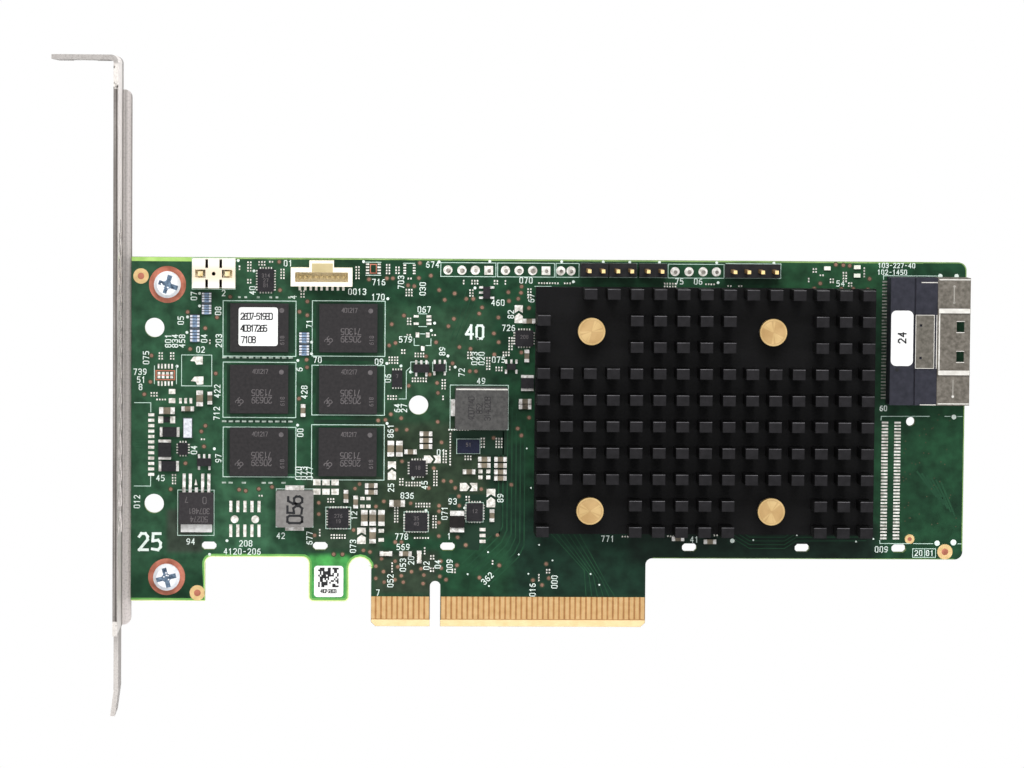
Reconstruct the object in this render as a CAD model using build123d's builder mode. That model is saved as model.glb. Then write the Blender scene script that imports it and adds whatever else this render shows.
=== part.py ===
"""Storage controller card with a full-height bracket, in millimetres.

The card lies component side up. The origin is at the middle of the key notch, on the tip line
of the edge contacts and on the component face. +X runs along the card away from the bracket,
+Y runs from the edge contacts to the far long edge, and +Z points out of the component face.
"""

import math
import os

from build123d import *

os.makedirs("parts", exist_ok=True)

LOW = (Align.CENTER, Align.CENTER, Align.MIN)
HIGH = (Align.CENTER, Align.CENTER, Align.MAX)

# Card edge, with contacts a millimetre apart on both sides of the key notch
contact_pitch = 1.0
contacts_before_key = 11
contacts_after_key = 38
contact_width = 0.66
contact_thickness = 0.05
contact_low_y = 1.45
contact_high_y = 5.6
key_to_contact = 1.5
key_width = 1.95
key_depth = 8.5
tongue_margin = 0.5
bevel_height = 1.3
bevel_depth = 0.45

# Circuit board outline
board_thickness = 1.57
board_left = -56.2
board_step_y = 12.85
board_corner_radius = 1.5
leg_right = -42.5
leg_bottom = 4.65
tab_left = -23.4
tab_width = 7.4
notch_corner_radius = 1.2
tab_corner_radius = 0.9
tongue_corner = 0.8

# Holes in the board
tooling_hole_radius = 1.8
tooling_hole_x = -51.95
tooling_hole_low_y = 22.65
tooling_hole_spacing = 32.5
centre_hole_place = (-3.3, 41.1)
peg_hole_radius = 0.85
peg_hole_from_port = 4.75
peg_hole_y = 38.55
slot_row_y = 14.9
slot_places_x = (-41.8, -21.3, 2.25, 47.1, 68.1)
last_slot_from_right = 11.9
slot_length = 2.7
slot_width = 1.5
slot_corner = 0.45

# Bracket, folded from one steel sheet
sheet = 0.86
bracket_outer_x = -58.7
bracket_width = 18.42
bracket_tip_y = -15.12
bracket_height = 120.02
bracket_tab_reach = 11.1
bracket_tab_extra = 3.17
bend_radius = 0.5
lip_width = 2.5
lip_low_y = 0.0
lip_from_top = 6.1
lip_corner_radius = 1.4
ear_width = 9.0
ear_reach = 12.6
tongue_width = 10.19
tongue_kick = 0.6
tongue_kick_y = 4.5
screw_notch_width = 4.42
screw_notch_depth = 6.35
screw_notch_from_plate = 6.2
vent_across = 3.5
vent_pitch = 4.7
vent_rows = 12
vent_columns = 3

# Bracket screws
screw_x = -49.6
screw_low_y = 9.1
screw_spacing = 54.0
screw_thread_radius = 1.45
screw_head_radius = 2.45
screw_head_height = 1.7
screw_length = 4.0
screw_board_clearance = 0.15
screw_ear_clearance = 0.05
screw_bevel = 0.6
recess_width = 0.7
recess_reach = 2.8
recess_depth = 0.9
recess_turns = (-18, 14)

# Heat sink, pins cut from an extrusion
sink_left = 18.0
sink_bottom = 17.9
sink_length = 62.6
sink_depth = 45.4
sink_base_low = 3.0
sink_base_thickness = 2.4
sink_height = 12.0
fin_columns = 15
fin_rows = 10
fin_length = 2.3
fin_depth = 1.9
fin_side_margin = 0.05
fin_far_margin = 0.9
clear_reach_x = 6.0
clear_reach_y = 5.0
flat_corner_columns = (0, 1)

# Push pins that hold the heat sink, and their springs
push_pin_places_x = (28.0, 61.3)
push_pin_places_y = (22.5, 55.4)
push_pin_radius = 1.2
shank_sides = 8
push_pin_head_radius = 2.5
push_pin_head_height = 1.2
push_pin_clearance = 0.3
push_pin_seat = 0.04
barb_radius = 1.75
barb_taper = 22
barb_height = 1.9
spring_wire = 0.42
spring_turns = 3.0
spring_height = 2.9
spring_radius = 2.1
spring_sides = 8
spring_gap = 0.07

# Controller under the heat sink
controller_place = (44.65, 38.95)
substrate_size = 31.0
substrate_height = 1.1
lid_size = 27.0
lid_height = 1.6

# Memory
memory_length = 10.7
memory_width = 8.9
memory_height = 1.1
memory_columns_x = (-32.7, -16.35)
memory_rows_y = (55.3, 43.95, 32.4)
memory_label_length = 7.2
memory_label_width = 7.1
memory_label_corner = 0.5
memory_label_shift = (-0.2, 0.2)
label_thickness = 0.1

# Moulded chokes: place; length, width and height; width of the end terminals, their reach at the
# low and the high end, and their height; the axis they lie along
choke_corner = 0.3
chokes = (
    ((-26.05, 22.0), (6.9, 6.7, 3.0), (3.45, 0.8, 0.8, 0.9), "y"),
    ((8.25, 40.75), (9.7, 7.75, 4.0), (3.05, 0.75, 0.1, 1.2), "x"),
    ((3.95, 19.65), (2.75, 2.2, 1.6), (2.6, 0.85, 0.85, 1.2), "y"),
)

# Five-lead power regulator
regulator_place = (-44.15, 21.95)
regulator_length = 6.3
regulator_width = 5.8
regulator_height = 2.3
regulator_tab_length = 5.7
regulator_tab_reach = 1.6
regulator_tab_thickness = 0.55
regulator_leads_count = 5
regulator_lead_pitch = 1.14
regulator_lead_width = 0.55
regulator_lead_reach = 3.4
regulator_stub_reach = 0.9
lead_thickness = 0.4
lead_exit_height = 0.9

# Two-pin battery connector, moulded in cream plastic
battery_place = (-41.0, 65.3)
battery_length = 7.8
battery_width = 5.3
battery_height = 4.6
battery_floor = 3.0
battery_well_length = 1.9
battery_well_width = 1.5
battery_pin_offset = 2.45
battery_pin_width = 0.9
battery_pin_height = 1.2
battery_dimple_radius = 0.35
battery_slit_offset = 1.28
battery_slit_width = 0.5
battery_slit_length = 1.6
battery_slit_depth = 2.2

# Nine-way cable connector, moulded in cream plastic
nine_way_place = (-21.3, 64.75)
nine_way_length = 11.3
nine_way_width = 3.4
nine_way_height = 3.6
nine_way_wall = 0.8
nine_way_floor = 0.9
nine_way_key_length = 4.5
nine_way_key_width = 1.3
nine_way_leads = 9
nine_way_pitch = 1.0
nine_way_lead_width = 0.45
nine_way_lead_reach = 0.85
nine_way_lead_height = 0.4
nine_way_pin_height = 1.8

# Pin headers
header_pitch = 2.54
header_width = 2.5
header_base_height = 2.5
header_pin_width = 0.64
header_pin_top = 8.4
header_tail = 1.6
header_from_sink = 3.05
header_from_edge = 1.8
header_fit = 0.02
header_starts_x = [27.6, 32.85, 38.4]
last_header_from_sink_end = 26.3
header_counts = (2, 2, 2, 4)

# Drive cable port at the far end of the card
port_from_sink = 2.7
port_low_y = 41.95
port_width = 23.5
port_height = 5.5
port_housing_length = 9.7
port_rear_length = 4.5
port_groove_width = 0.3
port_groove_depth = 0.4
shell_reach = 14.75
shell_wall = 0.3
shell_grip = 1.0
shell_fit = 0.05
shell_corner = 0.3
shell_rib_width = 0.9
shell_rib_height = 0.3
shell_rib_offset = 5.7
latch_window_length = 1.4
latch_window_width = 1.9
latch_window_from_front = 1.8
latch_window_offset = 2.75
blade_slot_height = 1.2
blade_slot_width = 21.8
blade_slot_depth = 5.0
latch_plate_from_port = 6.35
latch_plate_length = 3.5
latch_plate_width = 9.9
latch_plate_thickness = 0.25
latch_plate_hole = 0.45
latch_plate_hole_shift = 0.75
latch_plate_hole_offset = 3.0
port_label_from_port = 2.15
port_label_shift = 0.6
port_label_length = 4.1
port_label_width = 10.2
port_label_corner = 1.0
port_contacts_count = 37
port_contact_pitch = 0.6
port_tail_width = 0.28
port_tail_reach = 0.9
port_tail_thickness = 0.18

# Leadless logic chips: x, y, length, width
chip_height = 0.85
logic_chips = (
    (-31.55, 64.0, 3.0, 4.2),
    (-7.3, 46.0, 1.9, 3.1),
    (-3.4, 29.45, 3.0, 2.9),
    (-3.6, 19.5, 4.1, 3.4),
    (-18.0, 20.15, 3.8, 3.6),
    (7.2, 21.35, 3.0, 3.4),
    (5.95, 33.55, 4.1, 2.5),
    (-46.65, 32.85, 1.8, 2.2),
    (16.1, 53.6, 3.3, 2.95),
)

# Small transistor packages: x, y, body length, body width, leads run along this axis
small_packages = (
    (-42.75, 30.4, 2.6, 1.4, "y"),
    (9.1, 62.0, 1.3, 2.2, "x"),
    (0.55, 48.1, 2.0, 1.35, "y"),
    (13.75, 48.35, 1.6, 1.1, "y"),
    (-2.85, 47.95, 2.9, 1.5, "y"),
)
small_package_height = 1.0
small_lead_width = 0.4
small_lead_reach = 0.75
small_lead_pitch = 0.95
small_lead_height = 0.25

# Black surface diodes: x, y, body length, body width, ends lie along this axis
diodes = (
    (-49.1, 35.95, 2.6, 1.75, "x"),
    (-50.0, 32.7, 2.65, 2.3, "y"),
    (-49.25, 29.65, 2.7, 1.85, "x"),
    (16.75, 45.35, 1.9, 2.3, "y"),
)
diode_height = 1.1
diode_end_reach = 0.5
diode_end_height = 0.7

# Ceramic chips: length, width and height of each size, then the places of each
chip_sizes = ((2.3, 0.85, 0.7), (2.85, 1.2, 1.1), (1.6, 0.8, 0.7))
chip_end_share = 0.27
small_chips_along_x = (
    (-1.9, 35.85), (-1.9, 34.65), (-1.9, 33.5), (-4.75, 32.5),
    (-11.95, 26.2), (-11.95, 25.0), (-9.15, 13.6), (-5.55, 13.6),
    (8.9, 31.2), (8.9, 30.05), (6.1, 28.85),
    (11.9, 31.2), (11.9, 30.05), (11.9, 28.85), (11.9, 27.7),
    (16.35, 41.95), (16.35, 40.95), (17.0, 56.8),
    (-45.8, 40.25), (44.95, 16.6), (50.9, 16.05),
)
small_chips_along_y = (
    (-41.75, 42.25), (-16.6, 24.2), (-14.8, 23.15),
    (10.4, 20.75), (-3.0, 13.0), (-24.6, 40.05), (16.6, 50.35),
)
large_chips_along_x = ((-7.15, 22.95), (-49.6, 39.9))
large_chips_along_y = (
    (-43.6, 42.2), (-8.4, 33.1), (-6.8, 33.1),
    (-13.2, 20.25), (-11.65, 20.25), (-10.05, 20.25), (-11.65, 17.0),
)

# Resistor networks: x, y, length, width
resistor_networks = (
    (-42.4, 59.7, 1.75, 4.1),
    (-44.55, 55.1, 1.75, 5.1),
    (-24.45, 52.35, 1.85, 4.4),
    (-45.8, 36.7, 1.7, 3.75),
)
resistor_height = 0.55

# Light-emitting diodes
led_length = 1.2
led_width = 0.7
led_height = 0.45
led_from_port = ((-11.2, 66.9), (-5.65, 67.15), (-5.65, 65.6))

# Rows of ceramic chips on the solder side, under the controller
back_chip_pitch = 4.0
back_chip_columns = 4
back_chip_rows = 3

# Label on the board tab
tab_label_place = (-19.7, 8.35)
tab_label_length = 5.4
tab_label_width = 5.8
tab_label_corner = 0.6

# Sizes worked out from the above
board_bottom = -board_thickness
sink_right = sink_left + sink_length
header_y = sink_bottom + sink_depth + header_from_sink
header_starts_x.append(sink_right - last_header_from_sink_end)
board_top = header_y + header_from_edge
port_left = sink_right + port_from_sink
shell_front = port_left + shell_reach
board_right = shell_front
bracket_top_y = bracket_tip_y + bracket_height
lip_high_y = bracket_top_y - lip_from_top
tongue_left = -(key_to_contact + (contacts_before_key - 1) * contact_pitch) - 0.35
tongue_right = key_to_contact + (contacts_after_key - 1) * contact_pitch + tongue_margin
tab_right = tab_left + tab_width
slot_radius = (tongue_left - tab_right) / 2
bracket_inner_x = bracket_outer_x + sheet
plate_back = board_bottom - sheet
plate_front = plate_back + bracket_width
lip_outer_x = bracket_outer_x + lip_width
vent_middle_y = (lip_low_y + lip_high_y) / 2 - 3
screw_places = ((screw_x, screw_low_y), (screw_x, screw_low_y + screw_spacing))
sink_base_top = sink_base_low + sink_base_thickness
push_pin_places = [(x, y) for x in push_pin_places_x for y in push_pin_places_y]
push_pin_shoulder = sink_base_top + spring_height
fin_first_x = sink_left + fin_side_margin + fin_length / 2
fin_pitch_x = (sink_length - fin_length - fin_side_margin - fin_far_margin) / (fin_columns - 1)
fin_first_y = sink_bottom + fin_depth / 2
fin_pitch_y = (sink_depth - fin_depth - fin_side_margin) / (fin_rows - 1)
shank_hole_radius = push_pin_radius + push_pin_clearance
port_middle_y = port_low_y + port_width / 2
port_housing_right = port_left + port_housing_length
pin_hole = header_pin_width + 2 * header_fit
memory_places = [(x, y) for y in memory_rows_y for x in memory_columns_x]
header_pin_places = [
    (start + i * header_pitch, header_y)
    for start, count in zip(header_starts_x, header_counts)
    for i in range(count)
]


def keep(builder, node):
    """Label a finished piece and write its file."""
    builder.part.label = node
    export_step(builder.part, f"parts/{node}.step")


def boxes(node, places, height, low=0.0, align=LOW):
    """Write one node of plain blocks, each given as x, y, length and width."""
    with BuildPart() as group:
        for x, y, length, width in places:
            with Locations((x, y, low)):
                Box(length, width, height, align=align)
    keep(group, node)


def label(node, place, size, corner, low):
    """Write one thin label with round corners."""
    with BuildPart() as sheet_label:
        with BuildSketch(Plane.XY.offset(low)):
            with Locations(place):
                RectangleRounded(*size, corner)
        extrude(amount=label_thickness)
    keep(sheet_label, node)


# Circuit board
with BuildPart() as circuit_board:
    with BuildSketch(Plane.XY.offset(board_bottom)):
        with BuildLine():
            Polyline(
                (board_left, leg_bottom),
                (leg_right, leg_bottom),
                (leg_right, board_step_y),
                (tab_left, board_step_y),
                (tab_left, leg_bottom),
                (tab_right, leg_bottom),
                (tab_right, board_step_y),
                (tongue_left, board_step_y),
                (tongue_left, 0),
                (tongue_right, 0),
                (tongue_right, board_step_y),
                (board_right, board_step_y),
                (board_right, board_top),
                (board_left, board_top),
                close=True,
            )
        make_face()
        fillet(
            vertices().filter_by(lambda v: v.X > board_right - 0.1),
            board_corner_radius,
        )
        fillet(
            vertices().filter_by(
                lambda v: abs(v.Y - board_step_y) < 0.1 and v.X < tab_left + 0.1
            ),
            notch_corner_radius,
        )
        fillet(
            vertices().filter_by(
                lambda v: abs(v.Y - leg_bottom) < 0.1 and tab_left - 0.1 < v.X < tab_right + 0.1
            ),
            tab_corner_radius,
        )
        fillet(
            vertices().filter_by(
                lambda v: abs(v.Y - board_step_y) < 0.1 and abs(v.X - tongue_right) < 0.1
            ),
            notch_corner_radius,
        )
        chamfer(vertices().filter_by(lambda v: abs(v.Y) < 0.1), tongue_corner)
        # Round top of the slot between the label tab and the contact tongue
        slot_x = (tab_right + tongue_left) / 2
        with Locations((slot_x, board_step_y)):
            Rectangle(2 * slot_radius, 2 * slot_radius, align=(Align.CENTER, Align.CENTER))
        with Locations((slot_x, board_step_y - slot_radius)):
            Circle(slot_radius, mode=Mode.SUBTRACT)
            Rectangle(
                2 * slot_radius, 2 * slot_radius, align=(Align.CENTER, Align.MAX), mode=Mode.SUBTRACT
            )
        # Key notch
        with Locations((0, key_depth - key_width / 2)):
            Circle(key_width / 2, mode=Mode.SUBTRACT)
            Rectangle(key_width, key_depth, align=(Align.CENTER, Align.MAX), mode=Mode.SUBTRACT)
        # Holes
        with Locations(
            (tooling_hole_x, tooling_hole_low_y),
            (tooling_hole_x, tooling_hole_low_y + tooling_hole_spacing),
            centre_hole_place,
        ):
            Circle(tooling_hole_radius, mode=Mode.SUBTRACT)
        with Locations((port_left + peg_hole_from_port, peg_hole_y)):
            Circle(peg_hole_radius, mode=Mode.SUBTRACT)
        with BuildSketch(mode=Mode.PRIVATE) as slot:
            Rectangle(slot_length, slot_width)
            chamfer(slot.vertices(), slot_corner)
        slot_xs = [*slot_places_x, board_right - last_slot_from_right]
        with Locations(*[(x, slot_row_y) for x in slot_xs]):
            add(slot.sketch, mode=Mode.SUBTRACT)
        with Locations(*screw_places):
            RegularPolygon(
                screw_thread_radius + screw_board_clearance, shank_sides, mode=Mode.SUBTRACT
            )
        with Locations(*push_pin_places):
            RegularPolygon(shank_hole_radius, shank_sides, mode=Mode.SUBTRACT)
        with Locations(*header_pin_places):
            Rectangle(pin_hole, pin_hole, mode=Mode.SUBTRACT)
    extrude(amount=board_thickness)
    # Bevel on both faces along the tip of the contact tongue
    for face_z, inward in ((0, -1), (board_bottom, 1)):
        with BuildSketch(Plane.YZ.offset(tongue_left - 1)):
            with BuildLine():
                Polyline(
                    (0, face_z),
                    (bevel_height, face_z),
                    (0, face_z + inward * bevel_depth),
                    close=True,
                )
            make_face()
        extrude(amount=tongue_right - tongue_left + 2, mode=Mode.SUBTRACT)
keep(circuit_board, "circuit_board")

# Gold edge contacts, one plate for each position on each face
contact_xs = [
    -key_to_contact - i * contact_pitch for i in range(contacts_before_key)
] + [key_to_contact + i * contact_pitch for i in range(contacts_after_key)]
contact_length = contact_high_y - contact_low_y
contact_middle_y = (contact_high_y + contact_low_y) / 2
contact_places = [(x, contact_middle_y, contact_width, contact_length) for x in contact_xs]
boxes("edge_contacts_front", contact_places, contact_thickness)
boxes("edge_contacts_back", contact_places, contact_thickness, low=board_bottom, align=HIGH)

# Bracket: plate, folded lip with two ears, top tab and lower tongue
with BuildPart() as bracket:
    # Plate and lip as one angle section
    with BuildSketch(Plane.XZ.offset(-lip_low_y)):
        with BuildLine():
            Polyline(
                (bracket_outer_x, plate_front),
                (bracket_inner_x, plate_front),
                (bracket_inner_x, plate_back + sheet),
                (lip_outer_x, plate_back + sheet),
                (lip_outer_x, plate_back),
                (bracket_outer_x, plate_back),
                close=True,
            )
        make_face()
        inner = vertices().filter_by(
            lambda v: abs(v.X - bracket_inner_x) < 0.01 and v.Z < 0
        )
        outer = vertices().filter_by(
            lambda v: abs(v.X - bracket_outer_x) < 0.01 and v.Z < 0
        )
        fillet(inner, bend_radius)
        fillet(outer, bend_radius + sheet)
    extrude(amount=-(lip_high_y - lip_low_y))
    fillet(
        edges().filter_by(Axis.Z).group_by(Axis.X)[-1],
        lip_corner_radius,
    )
    # Plate above the lip, up to the fold of the tab
    plate_middle_z = (plate_front + plate_back) / 2
    fold_y = bracket_top_y - sheet - bend_radius
    with Locations((bracket_outer_x, lip_high_y, plate_middle_z)):
        Box(
            sheet,
            fold_y - lip_high_y,
            bracket_width,
            align=(Align.MIN, Align.MIN, Align.CENTER),
        )
    # Fold and tab, with the open notch for the chassis screw
    with BuildSketch(Plane.XY.offset(plate_back - bracket_tab_extra)):
        with BuildLine():
            l1 = Line((bracket_inner_x, fold_y), (bracket_outer_x, fold_y))
            l2 = RadiusArc(l1 @ 1, (bracket_outer_x - bend_radius, fold_y + bend_radius), -bend_radius)
            l3 = Line(l2 @ 1, (bracket_outer_x - bracket_tab_reach, fold_y + bend_radius))
            l4 = Line(l3 @ 1, (bracket_outer_x - bracket_tab_reach, bracket_top_y))
            l5 = Line(l4 @ 1, (bracket_outer_x - bend_radius, bracket_top_y))
            RadiusArc(l5 @ 1, l1 @ 0, bend_radius + sheet)
        make_face()
    extrude(amount=bracket_width + bracket_tab_extra)
    notch_x = bracket_outer_x - screw_notch_from_plate
    notch_end_z = plate_back - bracket_tab_extra + screw_notch_depth - screw_notch_width / 2
    with BuildSketch(Plane.XZ.offset(-bracket_top_y)):
        with Locations((notch_x, notch_end_z)):
            Circle(screw_notch_width / 2)
            Rectangle(screw_notch_width, screw_notch_depth, align=(Align.CENTER, Align.MAX))
    extrude(amount=sheet, mode=Mode.SUBTRACT)
    # The fold keeps to the width of the plate
    with Locations((bracket_inner_x, fold_y, plate_back)):
        Box(
            sheet + bend_radius + 0.6,
            sheet + bend_radius,
            bracket_tab_extra,
            align=(Align.MAX, Align.MIN, Align.MAX),
            mode=Mode.SUBTRACT,
        )
    # Ears under the board, and the lower tongue
    for x, y in screw_places:
        with Locations((lip_outer_x, y, plate_back)):
            Box(ear_reach - lip_width, ear_width, sheet, align=(Align.MIN, Align.CENTER, Align.MIN))
    with BuildSketch(Plane.XY.offset(plate_middle_z - tongue_width / 2)):
        with BuildLine():
            Polyline(
                (bracket_outer_x, lip_low_y),
                (bracket_outer_x, bracket_tip_y + tongue_kick_y),
                (bracket_outer_x - tongue_kick, bracket_tip_y),
                (bracket_inner_x - tongue_kick, bracket_tip_y),
                (bracket_inner_x, bracket_tip_y + tongue_kick_y),
                (bracket_inner_x, lip_low_y),
                close=True,
            )
        make_face()
    extrude(amount=tongue_width)
    # Screw holes in the ears
    with BuildSketch(Plane.XY.offset(plate_back)):
        with Locations(*screw_places):
            RegularPolygon(screw_thread_radius + screw_ear_clearance, shank_sides)
    extrude(amount=sheet, mode=Mode.SUBTRACT)
    # Six-sided vents in staggered rows
    with BuildSketch(Plane.YZ.offset(bracket_outer_x)):
        with Locations((vent_middle_y, plate_middle_z)):
            for column in range(vent_columns):
                shift = (column % 2) * vent_pitch / 2
                rise = (column - (vent_columns - 1) / 2) * vent_pitch * 0.866
                with Locations((shift - vent_pitch / 4, rise)):
                    with GridLocations(vent_pitch, 1, vent_rows, 1):
                        RegularPolygon(vent_across / 2, 6, major_radius=False, rotation=30)
    extrude(amount=sheet, mode=Mode.SUBTRACT)
keep(bracket, "bracket")

# Bracket screws, through the board into the ears
with BuildPart() as bracket_screws:
    with Locations(*screw_places):
        Cylinder(screw_head_radius, screw_head_height, align=LOW)
    chamfer(edges().group_by(Axis.Z)[-1], screw_bevel)
    with BuildSketch(Plane.XY):
        with Locations(*screw_places):
            RegularPolygon(screw_thread_radius, shank_sides)
    extrude(amount=-screw_length)
    for (x, y), turn in zip(screw_places, recess_turns):
        with Locations(Location((x, y, screw_head_height), (0, 0, turn))):
            Box(recess_reach, recess_width, recess_depth, align=HIGH, mode=Mode.SUBTRACT)
            Box(recess_width, recess_reach, recess_depth, align=HIGH, mode=Mode.SUBTRACT)
keep(bracket_screws, "bracket_screws")

# Heat sink: base plate and rows of square pins, clear round the push pins
fin_places = []
for column in range(fin_columns):
    for row in range(fin_rows):
        x = fin_first_x + column * fin_pitch_x
        y = fin_first_y + row * fin_pitch_y
        near_push_pin = any(
            abs(x - px) < clear_reach_x and abs(y - py) < clear_reach_y
            for px, py in push_pin_places
        )
        flat_corner = row == fin_rows - 1 and column in flat_corner_columns
        if not near_push_pin and not flat_corner:
            fin_places.append((x, y))
with BuildPart() as heat_sink:
    with Locations((sink_left, sink_bottom, sink_base_low)):
        Box(
            sink_length,
            sink_depth,
            sink_base_thickness,
            align=(Align.MIN, Align.MIN, Align.MIN),
        )
    with BuildSketch(Plane.XY.offset(sink_base_top)):
        with Locations(*fin_places):
            Rectangle(fin_length, fin_depth)
    extrude(amount=sink_height - sink_base_top)
    with BuildSketch(Plane.XY.offset(sink_base_low)):
        with Locations(*push_pin_places):
            RegularPolygon(shank_hole_radius, shank_sides)
    extrude(amount=sink_base_thickness, mode=Mode.SUBTRACT)
keep(heat_sink, "heat_sink")

# Push pins: round head, eight-sided shank, and a tapered barb under the board
barb_top = board_bottom - push_pin_seat
with BuildPart() as push_pins:
    with Locations(*[(x, y, push_pin_shoulder) for x, y in push_pin_places]):
        Cylinder(push_pin_head_radius, push_pin_head_height, align=LOW)
    with BuildSketch(Plane.XY.offset(barb_top)):
        with Locations(*push_pin_places):
            RegularPolygon(push_pin_radius, shank_sides)
    extrude(amount=push_pin_shoulder - barb_top)
    with BuildSketch(Plane.XY.offset(barb_top)):
        with Locations(*push_pin_places):
            RegularPolygon(barb_radius, shank_sides)
    extrude(amount=-barb_height, taper=barb_taper)
keep(push_pins, "push_pins")

# Springs under the heads, wound in short straight steps
spring_low = sink_base_top + spring_wire / 2 + spring_gap
spring_rise = spring_height - spring_wire - 2 * spring_gap
spring_steps = int(spring_turns * spring_sides)
with BuildPart() as spring:
    with BuildLine() as coil:
        Polyline(
            *[
                (
                    spring_radius * math.cos(math.tau * i / spring_sides),
                    spring_radius * math.sin(math.tau * i / spring_sides),
                    spring_low + spring_rise * i / spring_steps,
                )
                for i in range(spring_steps + 1)
            ]
        )
    with BuildSketch(Plane(origin=coil.line @ 0, z_dir=coil.line % 0)):
        Rectangle(spring_wire, spring_wire)
    sweep(path=coil.line, transition=Transition.RIGHT)
with BuildPart() as push_pin_springs:
    with Locations(*push_pin_places):
        add(spring.part)
keep(push_pin_springs, "push_pin_springs")

# Controller under the heat sink
controller_x, controller_y = controller_place
lid_low = substrate_height
pad_low = substrate_height + lid_height
boxes(
    "controller_substrate",
    [(controller_x, controller_y, substrate_size, substrate_size)],
    substrate_height,
)
boxes("controller_lid", [(controller_x, controller_y, lid_size, lid_size)], lid_height, lid_low)
boxes(
    "thermal_pad",
    [(controller_x, controller_y, lid_size, lid_size)],
    sink_base_low - pad_low,
    pad_low,
)

# Memory
for i, (x, y) in enumerate(memory_places):
    boxes(f"memory_chip_{i + 1}", [(x, y, memory_length, memory_width)], memory_height)
label_x, label_y = memory_places[0]
label(
    "memory_label",
    (label_x + memory_label_shift[0], label_y + memory_label_shift[1]),
    (memory_label_length, memory_label_width),
    memory_label_corner,
    memory_height,
)

# Moulded chokes with their end terminals
choke_end_blocks = []
for i, (place, size, end, along) in enumerate(chokes):
    x, y = place
    length, width, height = size
    end_width, low_reach, high_reach, end_height = end
    with BuildPart() as choke:
        with Locations((x, y)):
            Box(length, width, height, align=LOW)
        chamfer(choke.edges().filter_by(Axis.Z), choke_corner)
    keep(choke, f"choke_{i + 1}")
    for side, end_reach in ((-1, low_reach), (1, high_reach)):
        if along == "x":
            end_x = x + side * (length + end_reach) / 2
            choke_end_blocks.append((end_x, y, end_reach, end_width, end_height))
        else:
            end_y = y + side * (width + end_reach) / 2
            choke_end_blocks.append((x, end_y, end_width, end_reach, end_height))
with BuildPart() as choke_ends:
    for x, y, length, width, height in choke_end_blocks:
        with Locations((x, y)):
            Box(length, width, height, align=LOW)
keep(choke_ends, "choke_ends")


def gull_wing(exit_height, reach, width, thickness):
    """Make one bent lead that leaves a body at the origin and points along +X."""
    shoulder = reach * 0.3
    heel = reach * 0.55
    with BuildPart() as lead:
        with BuildSketch(Plane.XZ):
            with BuildLine():
                Polyline(
                    (0, exit_height),
                    (shoulder, exit_height),
                    (heel, thickness),
                    (reach, thickness),
                    (reach, 0),
                    (heel - thickness, 0),
                    (shoulder - thickness / 2, exit_height - thickness),
                    (0, exit_height - thickness),
                    close=True,
                )
            make_face()
        extrude(amount=width / 2, both=True)
    return lead.part


# Power regulator, with a shortened middle lead and a solder tab
regulator_x, regulator_y = regulator_place
boxes(
    "regulator_body",
    [(regulator_x, regulator_y, regulator_length, regulator_width)],
    regulator_height,
)
regulator_tab_y = regulator_y - (regulator_width + regulator_tab_reach) / 2
boxes(
    "regulator_tab",
    [(regulator_x, regulator_tab_y, regulator_tab_length, regulator_tab_reach)],
    regulator_tab_thickness,
)
regulator_lead = gull_wing(
    lead_exit_height, regulator_lead_reach, regulator_lead_width, lead_thickness
)
with BuildPart() as regulator_leads:
    lead_y = regulator_y + regulator_width / 2
    for i in range(regulator_leads_count):
        lead_x = regulator_x + (i - (regulator_leads_count - 1) / 2) * regulator_lead_pitch
        if i == regulator_leads_count // 2:
            with Locations((lead_x, lead_y, lead_exit_height)):
                Box(
                    regulator_lead_width,
                    regulator_stub_reach,
                    lead_thickness,
                    align=(Align.CENTER, Align.MIN, Align.MAX),
                )
        else:
            with Locations(Location((lead_x, lead_y, 0), (0, 0, 90))):
                add(regulator_lead)
keep(regulator_leads, "regulator_leads")

# Small transistor packages: three leads on one side, two on the other
boxes("transistor_bodies", [p[:4] for p in small_packages], small_package_height)
transistor_feet = []
for x, y, length, width, along in small_packages:
    for side, offsets in ((1, (-1, 0, 1)), (-1, (-1, 1))):
        for offset in offsets:
            step = offset * small_lead_pitch
            if along == "y":
                foot_y = y + side * (width + small_lead_reach) / 2
                transistor_feet.append((x + step, foot_y, small_lead_width, small_lead_reach))
            else:
                foot_x = x - side * (length + small_lead_reach) / 2
                transistor_feet.append((foot_x, y + step, small_lead_reach, small_lead_width))
boxes("transistor_leads", transistor_feet, small_lead_height)


def two_ended(x, y, length, width, along, end):
    """Give the body and the two end blocks of a part whose ends are inside its length."""
    if along == "x":
        body = (x, y, length - 2 * end, width)
        ends = [(x + side * (length - end) / 2, y, end, width) for side in (-1, 1)]
    else:
        body = (x, y, width, length - 2 * end)
        ends = [(x, y + side * (length - end) / 2, width, end) for side in (-1, 1)]
    return body, ends


# Diodes
diode_blocks = [
    two_ended(x, y, length + 2 * diode_end_reach, width, along, diode_end_reach)
    for x, y, length, width, along in diodes
]
boxes("diode_bodies", [body for body, ends in diode_blocks], diode_height)
boxes(
    "diode_ends",
    [(x, y, length, width) for body, ends in diode_blocks for x, y, length, width in ends],
    diode_end_height,
)

# Ceramic chips: bodies and metal ends, on the component side
chip_places = [(place, "x", 0) for place in small_chips_along_x]
chip_places += [(place, "y", 0) for place in small_chips_along_y]
chip_places += [(place, "x", 1) for place in large_chips_along_x]
chip_places += [(place, "y", 1) for place in large_chips_along_y]
chip_bodies = {0: [], 1: []}
chip_ends = {0: [], 1: []}
for (x, y), along, size in chip_places:
    length, width, height = chip_sizes[size]
    body, ends = two_ended(x, y, length, width, along, length * chip_end_share)
    chip_bodies[size].append(body)
    chip_ends[size].extend(ends)


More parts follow.
